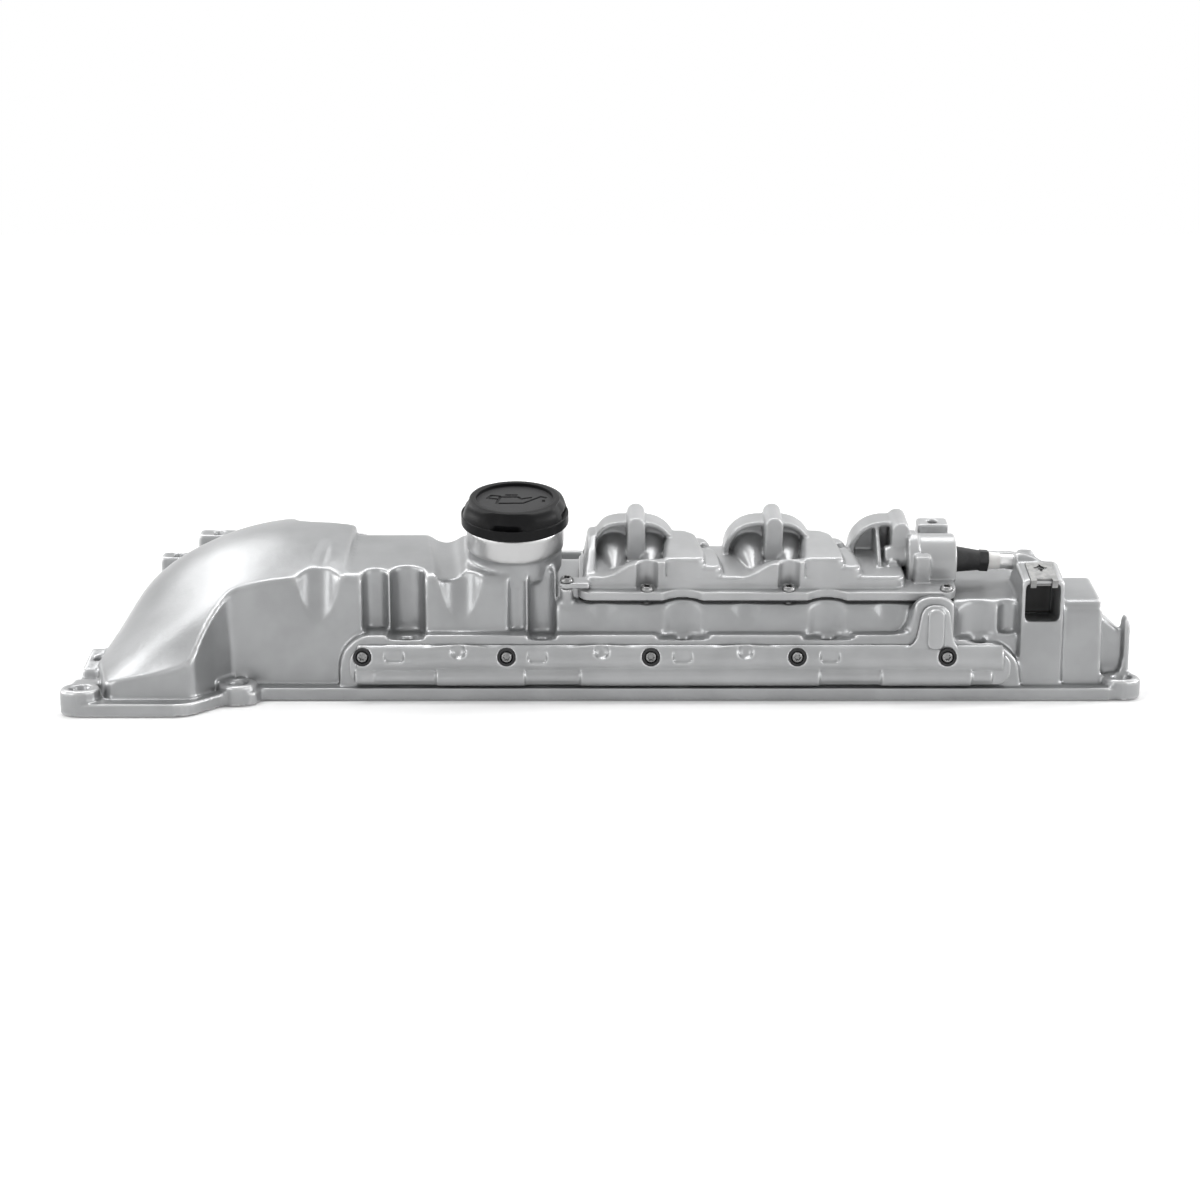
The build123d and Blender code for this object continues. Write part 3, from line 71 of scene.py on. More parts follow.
class Socket:
    """A shader socket that takes part in arithmetic."""

    def __init__(self, shading, out):
        self.shading, self.out = shading, out

    def maths(self, operation, *terms):
        return self.shading.add("ShaderNodeMath", {"operation": operation}, dict(enumerate(terms)))

    def vectors(self, operation, out, *terms):
        inputs = dict(enumerate(terms))
        return self.shading.add("ShaderNodeVectorMath", {"operation": operation}, inputs, out)

    def __add__(self, other):
        return self.maths("ADD", self, other)

    def __radd__(self, other):
        return self.maths("ADD", other, self)

    def __sub__(self, other):
        return self.maths("SUBTRACT", self, other)

    def __rsub__(self, other):
        return self.maths("SUBTRACT", other, self)

    def __mul__(self, other):
        return self.maths("MULTIPLY", self, other)

    def __rmul__(self, other):
        return self.maths("MULTIPLY", other, self)

    def __pow__(self, other):
        return self.maths("POWER", self, other)

    def __abs__(self):
        return self.maths("ABSOLUTE", self)

    def minus(self, place):
        return self.vectors("SUBTRACT", "Vector", self, place)

    def along(self, axis):
        return self.vectors("DOT_PRODUCT", "Value", self, axis)

    def length(self):
        return self.vectors("LENGTH", "Value", self)

    def between(self, low, high):
        """0 below low, 1 above high, and smooth between them."""
        inputs = {"Value": self, "From Min": low, "From Max": high}
        return self.shading.add("ShaderNodeMapRange", {"interpolation_type": "SMOOTHSTEP"}, inputs)

    def under(self, limit, blur):
        """1 under a limit, 0 over it, and smooth as far from it as the blur."""
        return 1 - self.between(limit - blur, limit + blur)


class Shading:
    """A node tree, and the one way in which its nodes are added."""

    def __init__(self, tree):
        self.tree = tree

    def put(self, node, key, value):
        socket = node.inputs[key]
        if isinstance(value, Socket):
            self.tree.links.new(value.out, socket)
        elif isinstance(value, tuple) and len(value) == 3 and socket.type == "RGBA":
            socket.default_value = (*value, 1.0)
        else:
            socket.default_value = value

    def add(self, kind, settings=None, inputs=None, out=0):
        node = self.tree.nodes.new(kind)
        for key, value in (settings or {}).items():
            if key == "stops":
                for stop, (position, colour) in zip(node.color_ramp.elements, value):
                    stop.position, stop.color = position, (*colour, 1.0)
            else:
                setattr(node, key, value)
        for key, value in (inputs or {}).items():
            self.put(node, key, value)
        return Socket(self, node.outputs[out])

    def seen(self):
        """1 for what shows in the picture or in a gloss, and 0 for what only lights the cover."""
        return sum(self.add("ShaderNodeLightPath", None, None, ray)
                   for ray in ("Is Camera Ray", "Is Glossy Ray", "Is Transmission Ray"))


class Finish(Shading):
    """A material: its principled shader, and the nodes that feed it."""

    def __init__(self, name, **surface):
        self.material = bpy.data.materials.new(name)
        self.material.use_nodes = True
        super().__init__(self.material.node_tree)
        self.shader = self.tree.nodes["Principled BSDF"]
        self.surface(**surface)

    def surface(self, **surface):
        for key, value in surface.items():
            self.put(self.shader, key.replace("_", " ").title().replace("Ior", "IOR"), value)

    def place(self):
        return self.add("ShaderNodeTexCoord", None, None, "Object")

    def noise(self, place, scale, detail=3.0, roughness=0.55):
        inputs = {"Vector": place, "Scale": scale, "Detail": detail, "Roughness": roughness}
        return self.add("ShaderNodeTexNoise", None, inputs)

    def mix(self, factor, low, high):
        inputs = {0: factor, 6: low, 7: high}
        return self.add("ShaderNodeMix", {"data_type": "RGBA"}, inputs, 2)

    def bump(self, height, strength, distance, under=None):
        inputs = {"Height": height, "Strength": strength, "Distance": distance}
        if under:
            inputs["Normal"] = under
        return self.add("ShaderNodeBump", None, inputs)


def put_on(piece, finish):
    """Gives a piece one finish all over."""
    piece.data.materials.clear()
    piece.data.materials.append(finish.material)


sweep_white = Finish("sweep_white", base_color=(0.93, 0.93, 0.93), roughness=0.9, emission_strength=1.0)
sweep_far = sweep_white.place().length().between(0.4, 1.4)
sweep_glow = sweep_white.seen() * (0.1 + 0.9 * sweep_far)
sweep_white.surface(emission_color=sweep_white.mix(sweep_glow, (0, 0, 0), (1, 1, 1)))
sweep_drop = 0.0004
bpy.ops.mesh.primitive_plane_add(size=14, location=(0, 0, -sweep_drop))
sweep = bpy.context.object
sweep.name = "sweep"
put_on(sweep, sweep_white)

world = bpy.data.worlds.new("studio")
world.use_nodes = True
scene.world = world
sky = Shading(world.node_tree)
sky_height = sky.add("ShaderNodeTexCoord", None, None, "Generated").along((0, 0, 1))
sky_stops = ((0.0, (0.10, 0.10, 0.102)), (0.75, (1.0, 1.0, 1.0)))
sky_tone = sky.add("ShaderNodeValToRGB", {"stops": sky_stops}, {"Fac": sky_height})
sky_light = sky.add("ShaderNodeBackground", None, {"Color": sky_tone, "Strength": 0.33})
sky_white = sky.add("ShaderNodeBackground", None, {"Color": (1.0, 1.0, 1.0)})
sky_mix = sky.add("ShaderNodeMixShader", None, {0: sky.seen(), 1: sky_light, 2: sky_white})
sky.put(world.node_tree.nodes["World Output"], "Surface", sky_mix)

for name, place, aim, size, power in (
    ("top_box", (-0.1, 0.25, 1.5), (0, 0, 0.05), (2.0, 0.4), 16),
    ("back_left_box", (-1.4, 1.3, 1.6), (-0.1, 0, 0.05), (0.9, 0.9), 10),
    ("back_right_box", (1.5, 1.2, 1.4), (0.1, 0, 0.05), (0.8, 0.8), 6),
    ("left_box", (-1.5, -1.2, 0.75), (-0.1, 0, 0.05), (0.5, 0.9), 5.5),
    ("right_box", (1.5, -1.2, 0.75), (0.1, 0, 0.05), (0.5, 0.9), 5),
    ("left_strip", (-1.7, 0.1, 0.4), (-0.1, 0, 0.05), (0.9, 0.4), 8),
    ("right_strip", (1.7, 0.0, 0.5), (0.1, 0, 0.05), (0.9, 0.4), 11),
):
    lamp = linked(name, bpy.data.lights.new(name, "AREA"))
    lamp.data.shape = "RECTANGLE"
    lamp.data.size, lamp.data.size_y = size
    lamp.data.energy = power
    lamp.location = place
    lamp.rotation_euler = (Vector(aim) - Vector(place)).to_track_quat("-Z", "Y").to_euler()

# Cover casting. One die casting with a satin silver paint: its edges are rounded by the die and
# by the paint, while the neck's collar is turned bright after it.


def evaluated(mesh, name, *modifiers):
    """A mesh with modifiers applied: each is its kind and settings."""
    piece = linked(name, mesh)
    for kind, settings in modifiers:
        modifier = piece.modifiers.new(kind.lower(), kind)
        for key, value in settings.items():
            setattr(modifier, key, value)
    bpy.context.view_layer.update()
    view = piece.evaluated_get(bpy.context.evaluated_depsgraph_get())
    result = bpy.data.meshes.new_from_object(view)
    bpy.data.objects.remove(piece)
    result.name = name
    return result


def points_of(mesh):
    points = np.zeros(len(mesh.vertices) * 3)
    mesh.vertices.foreach_get("co", points)
    return points.reshape(-1, 3)


def set_points(mesh, points):
    mesh.vertices.foreach_set("co", points.ravel())
    mesh.update()


def smooth_points(mesh, rounds, share):
    """Rounds the edges of a mesh. share is how much each point may move, from 0 to 1."""
    edges = np.zeros(len(mesh.edges) * 2, np.int64)
    mesh.edges.foreach_get("vertices", edges)
    first, second = edges.reshape(-1, 2).T
    points = points_of(mesh)
    count = np.bincount(first, minlength=len(points)) + np.bincount(second, minlength=len(points))
    share = np.broadcast_to(share(points) if callable(share) else share, len(points))
    for _ in range(rounds):
        total = np.stack([
            np.bincount(first, points[second, k], len(points))
            + np.bincount(second, points[first, k], len(points))
            for k in range(3)
        ], axis=1)
        points = points + (share / 2)[:, None] * (total / np.maximum(count, 1)[:, None] - points)
    set_points(mesh, points)


def cast_piece(node, voxel, rounds, faces, share=1.0, shape=None):
    """A finely meshed copy of a CAD node with the rounded edges of a casting, in place of it."""
    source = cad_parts[node].data.copy()
    mesh = evaluated(source, node + "_skin", ("REMESH", {"mode": "VOXEL", "voxel_size": voxel}))
    smooth_points(mesh, rounds, share)
    if shape:
        shape(mesh)
    ratio = min(1.0, faces / (2 * len(mesh.polygons)))
    mesh = evaluated(mesh, node + "_cast", ("DECIMATE", {"ratio": ratio}))
    mesh.shade_smooth()
    piece = linked(node + "_cast", mesh)
    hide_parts(node)
    return piece


def cast_silver(name, tone, metallic=0.6, bright=None, deep_shade=None):
    """Satin silver paint on a rough casting, with fine grain and faint clouding. Its convex edges are
    lighter, partly rubbed bright and partly a painted highlight, and its hollows are darkened with
    painted shade. It is turned metal where bright is 1, and near black, as painted shade, where the
    last mask is 1."""
    rubbed_and_highlight, turned_metal, deep_shade_black = (0.74, 0.74, 0.74), (0.52, 0.52, 0.52), (0.012, 0.012, 0.012)
    hollow_shade, cloudy, clear = (tuple(share * value for value in tone) for share in (0.5, 0.9, 1.06))
    finish = Finish(name, specular_ior_level=0.5)
    place = finish.place()
    bright_here, deep_shade_here = (mask(place) if mask else 0 for mask in (bright, deep_shade))
    cloud = finish.noise(place, 28.0, 3.0)
    grit = finish.noise(place, 2600.0, 2.0, 0.6)
    lump = finish.noise(place, 420.0, 2.0)
    convex = finish.add("ShaderNodeNewGeometry", None, None, "Pointiness")
    # Pointiness finds convex edges and hollows; the hollows are given painted shade at half the tone.
    edge, outside_hollow_shade = convex.between(0.505, 0.56), convex.between(0.44, 0.495)
    paint = finish.mix(cloud.between(0.3, 0.7), cloudy, clear)
    # Lighter grey on convex edges: partly rubbed bright paint, partly a painted highlight.
    paint = finish.mix(edge * (0.6 + 0.4 * grit), paint, rubbed_and_highlight)
    # Painted shade: concave hollows darkened to half the paint's tone.
    paint = finish.mix(outside_hollow_shade, hollow_shade, paint)
    # Painted shade: near black where the last mask is 1, inside the bracket's window.
    paint = finish.mix(deep_shade_here, paint, deep_shade_black)
    fine = finish.bump(grit, 0.25 * (1 - bright_here), 0.00012)
    finish.surface(
        base_color=finish.mix(bright_here, paint, turned_metal),
        metallic=metallic + (1 - metallic) * bright_here,
        roughness=0.24 + 0.10 * cloud + 0.06 * grit,
        normal=finish.bump(lump, 0.2 * (1 - bright_here), 0.0003, fine),
    )
    return finish


flange_share, flange_top, flange_blend = 0.25, 0.0085, 0.004


def casting_share(points):
    """The sealing flange nearly keeps its edges; the walls and roofs are rounded fully."""
    above = np.clip((points[:, 2] - flange_top) / flange_blend, 0, 1)
    return flange_share + (1 - flange_share) * above


casting_rounds = 10
casting = cast_piece("cover_casting", voxel=0.0011, rounds=casting_rounds, faces=190000, share=casting_share)
roof_slope = radians(12.2)
seat_up = Vector((0, -sin(roof_slope), cos(roof_slope)))
neck_foot = (-0.059, -0.0352, 0.0837)
collar_radius, collar_foot = 31.4, 7.4
window_middle, window_half = (0.2715, -0.0645, 0.0595), (9.45, 13.95, 9.45)


def collar(place):
    """1 on the turned collar of the filler neck, 0 elsewhere."""
    from_foot = place.minus(neck_foot)
    height = from_foot.along(tuple(seat_up))
    reach = (from_foot.length() ** 2 - height ** 2) ** 0.5
    return (reach * 1000).under(collar_radius, 0.1) * (1 - (height * 1000).under(collar_foot, 0.1))


def bracket_window_shade(place):
    """1 inside the bracket's window, where the casting is painted near black as shade, 0 elsewhere."""
    from_middle = place.minus(window_middle)
    return prod((abs(from_middle.along(axis)) * 1000).under(half, 0.15)
                for axis, half in zip(((1, 0, 0), (0, 1, 0), (0, 0, 1)), window_half))


casting_silver = cast_silver("casting_silver", (0.355, 0.36, 0.365), 0.65, collar, bracket_window_shade)
put_on(casting, casting_silver)
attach(casting, "cover")

# Oil separator. A second, thinner die casting screwed on the intake roof, in the same paint, with
# a black gasket under its flange. Its screws have domed heads with a six-lobed socket.
separator_left = -0.0142
seat_y, seat_z = -0.0706, 0.0607
separator_flange_share, separator_flange, separator_blend = 0.35, 0.006, 0.004
end_reach, end_foot, end_blend = 0.014, 0.008, 0.01
end_lean, end_rise, end_rounds = 0.0045, 0.034, 24


def eased(t):
    """0 below 0, 1 above 1, and smooth between them."""
    t = np.clip(t, 0, 1)
    return t * t * (3 - 2 * t)


def separator_height(points):
    """How far points lie above the separator's seat."""
    return (points[:, 2] - seat_z) * cos(roof_slope) - (points[:, 1] - seat_y) * sin(roof_slope)


def separator_share(points):
    """The separator's flange nearly keeps its edges; all above it is rounded fully."""
    above = np.clip((separator_height(points) - separator_flange) / separator_blend, 0, 1)
    return separator_flange_share + (1 - separator_flange_share) * above


def soft_end(mesh):
    """Leans the separator's left end wall in a little towards its top, and rounds it."""
    points = points_of(mesh)
    above_foot = separator_height(points) - end_foot
    near = eased(1 - (points[:, 0] - separator_left) / end_reach)
    share = near * np.clip(above_foot / end_blend, 0, 1)
    points[:, 0] += end_lean * share * np.clip(above_foot / end_rise, 0, 1)
    set_points(mesh, points)
    smooth_points(mesh, end_rounds, share)


separator = cast_piece(
    "separator_cover", voxel=0.0006, rounds=14, faces=150000, share=separator_share, shape=soft_end,
)
separator_silver = cast_silver("separator_silver", (0.46, 0.465, 0.47), 0.35)
put_on(separator, separator_silver)
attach(separator, "cover")


def rubber(name):
    """Black moulded rubber: dull, with a grey bloom and a fine skin."""
    finish = Finish(name, specular_ior_level=0.4)
    bloom = finish.noise(finish.place(), 150.0)
    skin = finish.noise(finish.place(), 2400.0, 2.0)
    finish.surface(
        base_color=finish.mix(bloom.between(0.35, 0.7), (0.014, 0.014, 0.015), (0.030, 0.030, 0.031)),
        roughness=0.48 + 0.2 * bloom,
        normal=finish.bump(skin, 0.3, 0.0001),
    )
    return finish


def keep_shape(names, finish):
    """Gives CAD nodes whose shape is right a finish of their own."""
    for name in names:
        put_on(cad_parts[name], finish)


gasket_rubber = rubber("gasket_rubber")
keep_shape(["separator_gasket"], gasket_rubber)


def steel(name, low, high, roughness, grain=900.0):
    """Plated or rolled steel, clouded between two tones."""
    finish = Finish(name, metallic=1.0)
    cloud = finish.noise(finish.place(), 260.0)
    fine = finish.noise(finish.place(), grain, 4.0)
    finish.surface(
        base_color=finish.mix(cloud.between(0.3, 0.7), low, high),
        roughness=roughness + 0.15 * fine,
        normal=finish.bump(fine, 0.2, 0.00008),
    )
    return finish


def rounded(corners, steps=5):
    """A profile whose corners, given as r, z and rounding, are turned into short arcs."""
    points = []
    for k, (r, z, round_by) in enumerate(corners):
        here = np.array((r, z), float)
        if not round_by or k in (0, len(corners) - 1):
            points.append(here)
            continue
        before = np.array(corners[k - 1][:2], float) - here
        after = np.array(corners[k + 1][:2], float) - here
        start = here + before / np.linalg.norm(before) * round_by
        end = here + after / np.linalg.norm(after) * round_by
        for t in np.linspace(0, 1, steps):
            points.append((1 - t) ** 2 * start + 2 * t * (1 - t) * here + t * t * end)
    return np.array(points)


def refined(profile, step):
    """A profile with more points on its long runs."""
    points = [profile[0]]
    for a, b in zip(profile, profile[1:]):
        pieces = max(1, int(np.ceil(np.linalg.norm(b - a) / step)))
        points += [a + (b - a) * (k + 1) / pieces for k in range(pieces)]
    return np.array(points)


def turned(name, profile, around, warp, seats, axes):
    """Closed turned meshes from one profile in mm, at each seat; warp moves the rings' points."""
    turn = np.linspace(0, 2 * pi, around, endpoint=False)
    r = np.repeat(profile[:, :1], around, axis=1)
    z = np.repeat(profile[:, 1:], around, axis=1)
    turn = np.repeat(turn[None, :], len(profile), axis=0)
    r, z = warp(r, z, turn)
    x, y = r * np.cos(turn), r * np.sin(turn)
    frame_axes = np.array([tuple(axis) for axis in axes])
    points = np.stack([x, y, z], axis=-1).reshape(-1, 3) @ frame_axes / 1000
    rows, columns = np.meshgrid(np.arange(len(profile) - 1), np.arange(around), indexing="ij")
    after = (columns + 1) % around
    faces = np.stack([
        rows * around + columns, rows * around + after,
        (rows + 1) * around + after, (rows + 1) * around + columns,
    ], axis=-1).reshape(-1, 4)
    faces = np.vstack([faces + k * len(points) for k in range(len(seats))])
    points = np.vstack([points + np.array(tuple(seat)) for seat in seats])
    mesh = bpy.data.meshes.new(name)
    mesh.from_pydata(points.tolist(), [], faces.tolist())
    editor = bmesh.new()
    editor.from_mesh(mesh)
    bmesh.ops.remove_doubles(editor, verts=editor.verts, dist=1e-6)
    bmesh.ops.recalc_face_normals(editor, faces=editor.faces)
    editor.to_mesh(mesh)
    editor.free()
    mesh.shade_smooth()
    return linked(name, mesh)


def loose_parts(node):
    """The points of each separate solid of a CAD node."""
    editor = bmesh.new()
    editor.from_mesh(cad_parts[node].data)
    bmesh.ops.remove_doubles(editor, verts=editor.verts, dist=1e-6)
    parts, met = [], set()
    for start in editor.verts:
        if start in met:
            continue
        met.add(start)
        part, front = [], [start]
        while front:
            vertex = front.pop()
            part.append(tuple(vertex.co))
            for edge in vertex.link_edges:
                other = edge.other_vert(vertex)
                if other not in met:
                    met.add(other)
                    front.append(other)
        parts.append(np.array(part))
    editor.free()
    return parts


screw_steel = steel("screw_steel", (0.20, 0.20, 0.20), (0.32, 0.32, 0.32), 0.26)
shank_radius, shank_point = 2.5, 0.5
socket_depth, socket_cone, socket_lobes, lobe_depth = 2.3, 0.3, 6, 0.16


def screw_heads(node, up, radius, height, socket):
    """Domed screws with a lobed socket in place of a CAD node's plain ones, each about its own axis."""
    across = Vector((1, 0, 0))
    axes = (across, up.cross(across), up)
    frame_axes = np.array([tuple(axis) for axis in axes])
    seats, length = [], 0
    for part in loose_parts(node):
        local = part @ frame_axes.T
        top, low = local[:, 2].max(), local[:, 2].min()
        middle = (local[:, :2].max(axis=0) + local[:, :2].min(axis=0)) / 2
        length = (top - low) * 1000 - height
        seats.append(Vector(np.array((*middle, top - height / 1000)) @ frame_axes))
    floor = height - socket_depth
    profile = refined(rounded((
        (0, floor - socket_cone, 0), (socket * 0.96, floor, 0.2), (socket, height - 0.05, 0.25),
        (radius * 0.72, height, 0.5), (radius, height * 0.45, 0.8), (radius, 0, 0),
        (shank_radius, 0, 0), (shank_radius, -length + shank_point, 0),
        (shank_radius - shank_point, -length, 0), (0, -length, 0),
    )), 0.5)

    def lobed(r, z, turn):
        inside = (r < socket * 1.12) & (z > floor - socket_cone - 0.05)
        return r * np.where(inside, 1 + lobe_depth * np.cos(socket_lobes * turn), 1), z

    piece = turned(node + "_turned", profile, 72, lobed, seats, axes)
    put_on(piece, screw_steel)
    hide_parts(node)
    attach(piece, "cover")


screw_heads("separator_screws", seat_up, radius=4.2, height=2.8, socket=2.1)

# Side rail. A flat cast cover over an oil gallery, with a raised channel along it and a black
# rubber ring round the head of each screw.
rail = cast_piece("rail_cover", voxel=0.0006, rounds=9, faces=100000)
rail_silver = cast_silver("rail_silver", (0.40, 0.405, 0.41))
put_on(rail, rail_silver)
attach(rail, "cover")
screw_heads("rail_screws", Vector((0, -1, 0)), radius=4.0, height=3.2, socket=1.9)
keep_shape(["rail_gasket", "rail_screw_seals"], gasket_rubber)

# Filler cap. A black glass-filled moulding on a quarter-turn bayonet: four finger scoops above a
# plain band, and a shallow dish with an oil can pressed into its floor.
cap_seat = Vector((-0.059, -0.040039, 0.106142))
cap_across = Vector((1, 0, 0))
cap_up = seat_up
cap_back = cap_up.cross(cap_across)
cap_radius, cap_top, cap_floor, cap_crease = 34.0, 17.2, 14.7, 7.3
dish_radius, dish_rings_end, dish_ring_step = 24.3, 23.6, 0.25
seal_radius, seal_height = 26.3, 8.9
bayonet_radius, bayonet_bore, bayonet_foot, bayonet_roof = 21.7, 18.7, -16, 10.4
lug_top, lug_foot, lug_edge, lug_reach, lug_half = -10, -13, 0.01, 2.5, 25
scoop_turns = [radians(-97 + 90 * k) for k in range(4)]
scoop_depth, scoop_half, scoop_soft, scoop_rise = 2.6, 33, 24, 6
moon_depth, moon_half, moon_soft, moon_height, moon_drop = 2.4, 19, 7, 3.5, 3.0
oil_can_depth, oil_can_half, oil_can_soft = 0.9, 0.85, 0.25
oil_can = (
    ((-11.1, -4.8), (5.7, -4.5), (16.5, 6.6), (19.6, 4.6)),
    ((-11.1, -4.8), (-9.4, 6.0), (2.0, 6.0), (4.2, 2.6), (10.1, 5.0)),
    ((-10.6, 2.4), (-17.6, 4.0), (-15.2, 8.8), (-9.6, 7.4)),
    ((-5.6, 9.4), (-3.2, 9.4)),
    ((-1.6, 9.4), (0.8, 9.4)),
    ((18.4, 0.4), (18.5, -1.4)),
)
cap_profile = refined(rounded((
    (0, cap_floor, 0), (dish_radius - 0.2, cap_floor, 0.2), (dish_radius, cap_top - 0.2, 0.3),
    (27.2, cap_top, 0.8), (30.6, cap_top - 1.2, 1.8), (cap_radius - 0.6, 12.2, 2.6),
    (cap_radius - 0.1, cap_crease + 0.5, 0.4), (cap_radius - 0.4, cap_crease, 0.2),
    (cap_radius, cap_crease - 0.5, 0.2), (cap_radius, 0.6, 0.3), (cap_radius - 0.6, 0, 0.3),
    (seal_radius, 0, 0.2), (seal_radius, seal_height, 0), (bayonet_radius, seal_height, 0),
    (bayonet_radius, lug_top + lug_edge, 0), (bayonet_radius, lug_top, 0),
    (bayonet_radius, lug_foot, 0), (bayonet_radius, lug_foot - lug_edge, 0),
    (bayonet_radius, bayonet_foot, 0), (bayonet_bore, bayonet_foot, 0),
    (bayonet_bore, bayonet_roof, 0), (0, bayonet_roof, 0),
)), 0.9)
dish_rings = np.arange(0, dish_rings_end, dish_ring_step)
cap_profile = np.vstack([
    np.stack([dish_rings, np.full(len(dish_rings), cap_floor)], axis=1),
    cap_profile[np.argmax(cap_profile[:, 0] > dish_rings_end):],
])


def near_lines(x, y, lines):
    """Distance of each x, y from the nearest of some chained lines."""
    nearest = np.full(x.shape, 1e9)
    for line in lines:
        for (x0, y0), (x1, y1) in zip(line, line[1:]):
            dx, dy = x1 - x0, y1 - y0
            t = np.clip(((x - x0) * dx + (y - y0) * dy) / (dx * dx + dy * dy), 0, 1)
            nearest = np.minimum(nearest, np.hypot(x - x0 - t * dx, y - y0 - t * dy))
    return nearest


def cap_warp(r, z, turn):
    """Presses in the scoops, each with a deeper moon at its foot, and the oil can, and adds the
    two bayonet lugs."""
    inward, down = np.zeros(r.shape), np.zeros(r.shape)
    for centre in scoop_turns:
        off = np.degrees(np.abs((turn - centre + pi) % (2 * pi) - pi))
        scoop = eased((scoop_half - off) / scoop_soft) * eased((cap_top - 0.3 - z) / 1.5)
        scoop = scoop * (0.3 + 0.7 * eased((z - cap_crease) / scoop_rise))
        moon = eased((moon_half - off) / moon_soft) * eased((cap_crease + moon_height - z) / 3)
        inward = np.maximum(inward, scoop_depth * scoop + moon_depth * moon)
        down = np.maximum(down, moon_drop * moon * eased((cap_crease + 1.2 - z) / 0.6))
    outside = (r > 27.5) & (z > cap_crease - 0.2)
    r, z = r - np.where(outside, inward, 0), z - np.where(outside, down, 0)
    line = near_lines(r * np.cos(turn), r * np.sin(turn), oil_can)
    pressed = oil_can_depth * (1 - eased((line - oil_can_half) / oil_can_soft))
    z = z - np.where((r < dish_radius - 0.3) & (z > cap_floor - 0.1), pressed, 0)
    off = np.degrees(np.abs((turn + pi / 2) % pi - pi / 2))
    lug = (z > lug_foot - lug_edge / 2) & (z < lug_top + lug_edge / 2) & (off < lug_half)
    return r + np.where(lug & (r > bayonet_radius - 0.7), lug_reach, 0), z


cap = turned("filler_cap_moulding", cap_profile, 320, cap_warp, [cap_seat], (cap_across, cap_back, cap_up))
cap_black = Finish("cap_black", specular_ior_level=0.15)
cap_place = cap_black.place()
cap_grain = cap_black.noise(cap_place, 1900.0, 2.0)
cap_cloud = cap_black.noise(cap_place, 60.0)
from_seat = cap_place.minus(tuple(cap_seat))
dish_height = from_seat.along(tuple(cap_up)) * 1000
dish_reach = float(np.hypot(dish_radius, cap_floor))
# The dish floor is a lighter, rougher grey: partly its grained finish and partly a painted sheen.
dish_grain_and_sheen = (
    (1 - dish_height.under(cap_floor - 0.2, 0.1)) * dish_height.under(cap_floor + 0.2, 0.1)
    * (from_seat.length() * 1000).under(dish_reach, 0.1)
)
cap_black.surface(
    base_color=cap_black.mix(
        dish_grain_and_sheen,
        cap_black.mix(cap_cloud, (0.004, 0.004, 0.0045), (0.008, 0.008, 0.0085)),
        cap_black.mix(cap_cloud, (0.040, 0.040, 0.041), (0.054, 0.054, 0.055)),
    ),
    roughness=0.34 + 0.12 * cap_grain + 0.15 * dish_grain_and_sheen,
    normal=cap_black.bump(cap_grain, 0.35, 0.00012),
)
put_on(cap, cap_black)
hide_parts("filler_cap")
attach(cap, "cap")
keep_shape(["filler_cap_seal"], gasket_rubber)

# Vent line. A black rubber hose end with a hexagonal grip, a moulded coupling of pale plastic and
# a turned steel nipple that runs into its boss beside the bracket.
hose = cast_piece("vent_hose", voxel=0.00035, rounds=3, faces=30000)
put_on(hose, rubber("hose_rubber"))
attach(hose, "cover")

coupling_plastic = Finish("coupling_plastic")
coupling_cloud = coupling_plastic.noise(coupling_plastic.place(), 180.0)
coupling_plastic.surface(
    base_color=coupling_plastic.mix(coupling_cloud, (0.87, 0.86, 0.84), (0.93, 0.92, 0.90)),
    roughness=0.30 + 0.15 * coupling_cloud,
)
keep_shape(["vent_coupling"], coupling_plastic)
keep_shape(["vent_nipple"], steel("nipple_steel", (0.66, 0.66, 0.66), (0.78, 0.78, 0.78), 0.24))

# Pressure regulator. Black moulded plastic inside the separator's housing: a pressed-in cap with
# the hose's spigot, a rubber diaphragm, and a plunger that a steel spring pushes out.
regulator_plastic = Finish("regulator_plastic")
regulator_grain = regulator_plastic.noise(regulator_plastic.place(), 1600.0, 2.0)
regulator_plastic.surface(
    base_color=regulator_plastic.mix(regulator_grain, (0.024, 0.024, 0.026), (0.044, 0.044, 0.046)),
    roughness=0.36 + 0.14 * regulator_grain,
    normal=regulator_plastic.bump(regulator_grain, 0.3, 0.0001),
)
keep_shape(["regulator_cap", "regulator_plunger"], regulator_plastic)
keep_shape(["regulator_diaphragm"], gasket_rubber)
spring = linked("regulator_coil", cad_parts["regulator_spring"].data.copy())
put_on(spring, steel("spring_steel", (0.34, 0.34, 0.35), (0.52, 0.52, 0.53), 0.26))
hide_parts("regulator_spring")
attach(spring, "cover")
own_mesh(spring)

# Clip nut. Folded spring steel in the casting's grey, pushed over the bracket's top plate: two
# straps round the plate's edge with a slot between them, and a cross cut in the threaded hole.
clip_slope = radians(18.0)
clip_corner = Vector((0.2716, -0.073, 0.075))
clip_across = Vector((1, 0, 0))
clip_along = Vector((0, cos(clip_slope), sin(clip_slope)))
clip_axes = (clip_across, clip_along, clip_across.cross(clip_along))
clip_hole, cross_reach, cross_half, slot_half, clip_edge = 14.0, 4.2, 0.7, 4.9, 0.0003


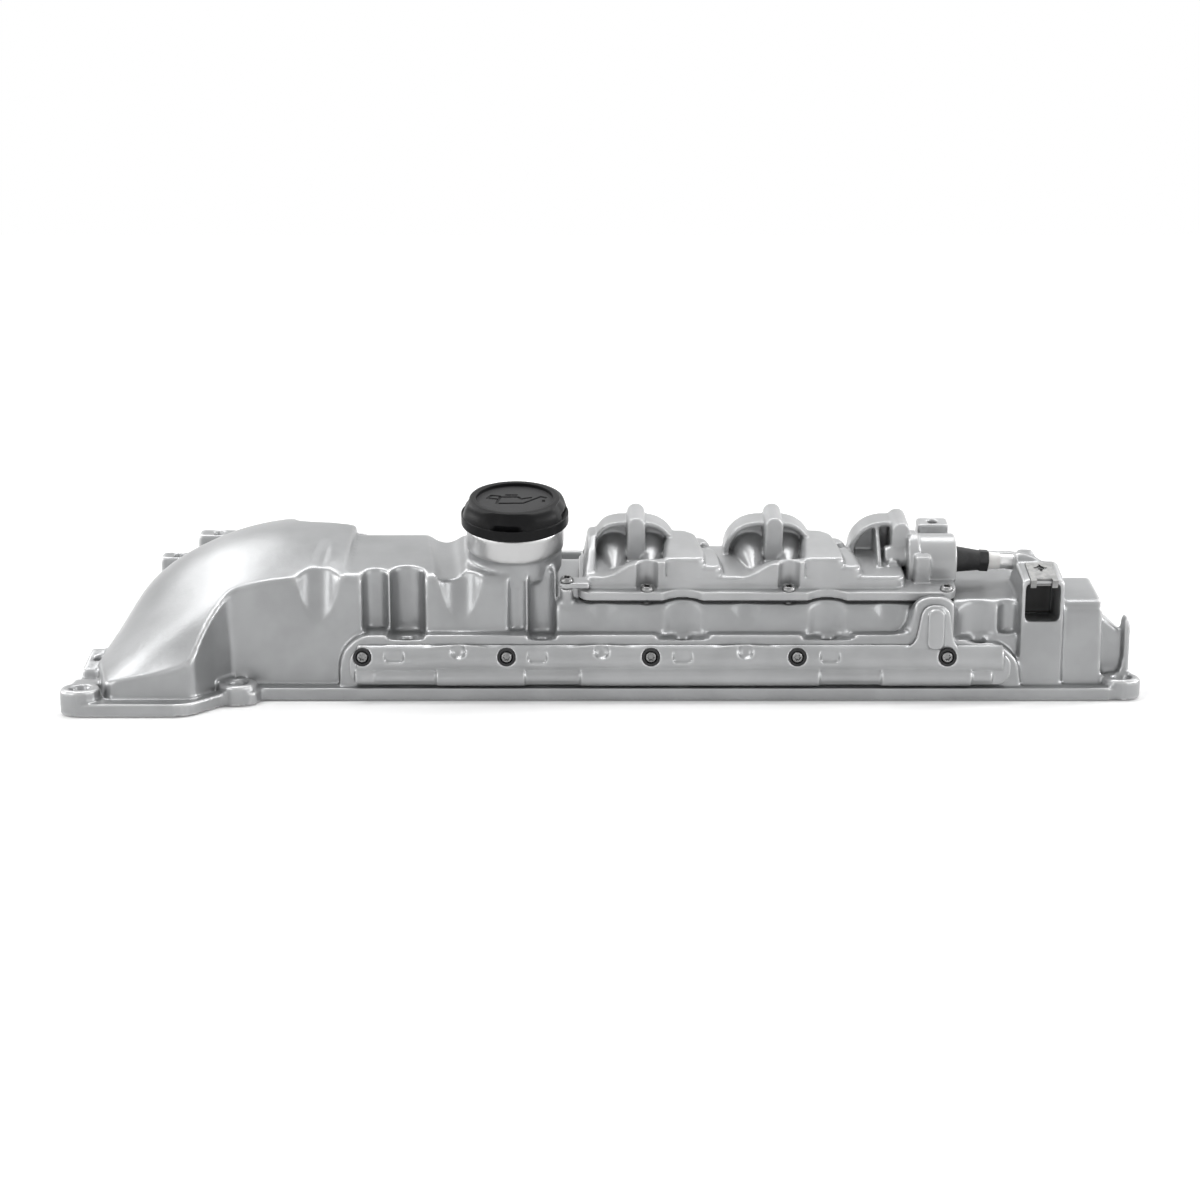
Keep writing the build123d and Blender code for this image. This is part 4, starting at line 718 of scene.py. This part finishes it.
def bar(name, place, axes, low, high):
    """A plain block between two corners, in mm along the axes from a place."""
    corners = [place + sum((axis * (value / 1000) for axis, value in zip(axes, (x, y, z))), Vector())
               for x in (low[0], high[0]) for y in (low[1], high[1]) for z in (low[2], high[2])]
    faces = ((0, 1, 3, 2), (4, 6, 7, 5), (0, 4, 5, 1), (2, 3, 7, 6), (0, 2, 6, 4), (1, 5, 7, 3))
    mesh = bpy.data.meshes.new(name)
    mesh.from_pydata([tuple(corner) for corner in corners], [], faces)
    return linked(name, mesh)


clip_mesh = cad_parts["clip_nut"].data.copy()
for name, low, high in (
    ("bow_slot", (-slot_half, -4, -6), (slot_half, 0.6, 3)),
    ("cross_long", (-cross_reach, clip_hole - cross_half, -0.2), (cross_reach, clip_hole + cross_half, 3)),
    ("cross_wide", (-cross_half, clip_hole - cross_reach, -0.2), (cross_half, clip_hole + cross_reach, 3)),
):
    cutter = bar(name, clip_corner, clip_axes, low, high)
    cut = ("BOOLEAN", {"operation": "DIFFERENCE", "object": cutter})
    clip_mesh = evaluated(clip_mesh, "clip_nut_cut", cut)
    bpy.data.objects.remove(cutter)
clip_mesh = evaluated(clip_mesh, "clip_nut_folded", ("BEVEL", {"width": clip_edge, "segments": 3}))
clip_nut = linked("clip_nut_folded", clip_mesh)
put_on(clip_nut, steel("clip_steel", (0.22, 0.22, 0.22), (0.31, 0.31, 0.305), 0.36))
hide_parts("clip_nut")
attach(clip_nut, "cover")

# Oil baffle. A folded sheet under the intake roof, as it comes from the rolls, on four screws that
# run up into posts of the casting.
baffle_sheet = steel("baffle_sheet", (0.36, 0.365, 0.37), (0.50, 0.505, 0.51), 0.34, 500.0)
keep_shape(["baffle_plate"], baffle_sheet)
keep_shape(["baffle_screws"], screw_steel)

# Seals under the flange. A square black rubber cord is pressed in the flange's groove, and a lipped
# rubber ring in the foot of each plug well.
seal_rubber = rubber("seal_rubber")
keep_shape(["perimeter_gasket", *(f"plug_tube_seal_{i + 1}" for i in range(6))], seal_rubber)
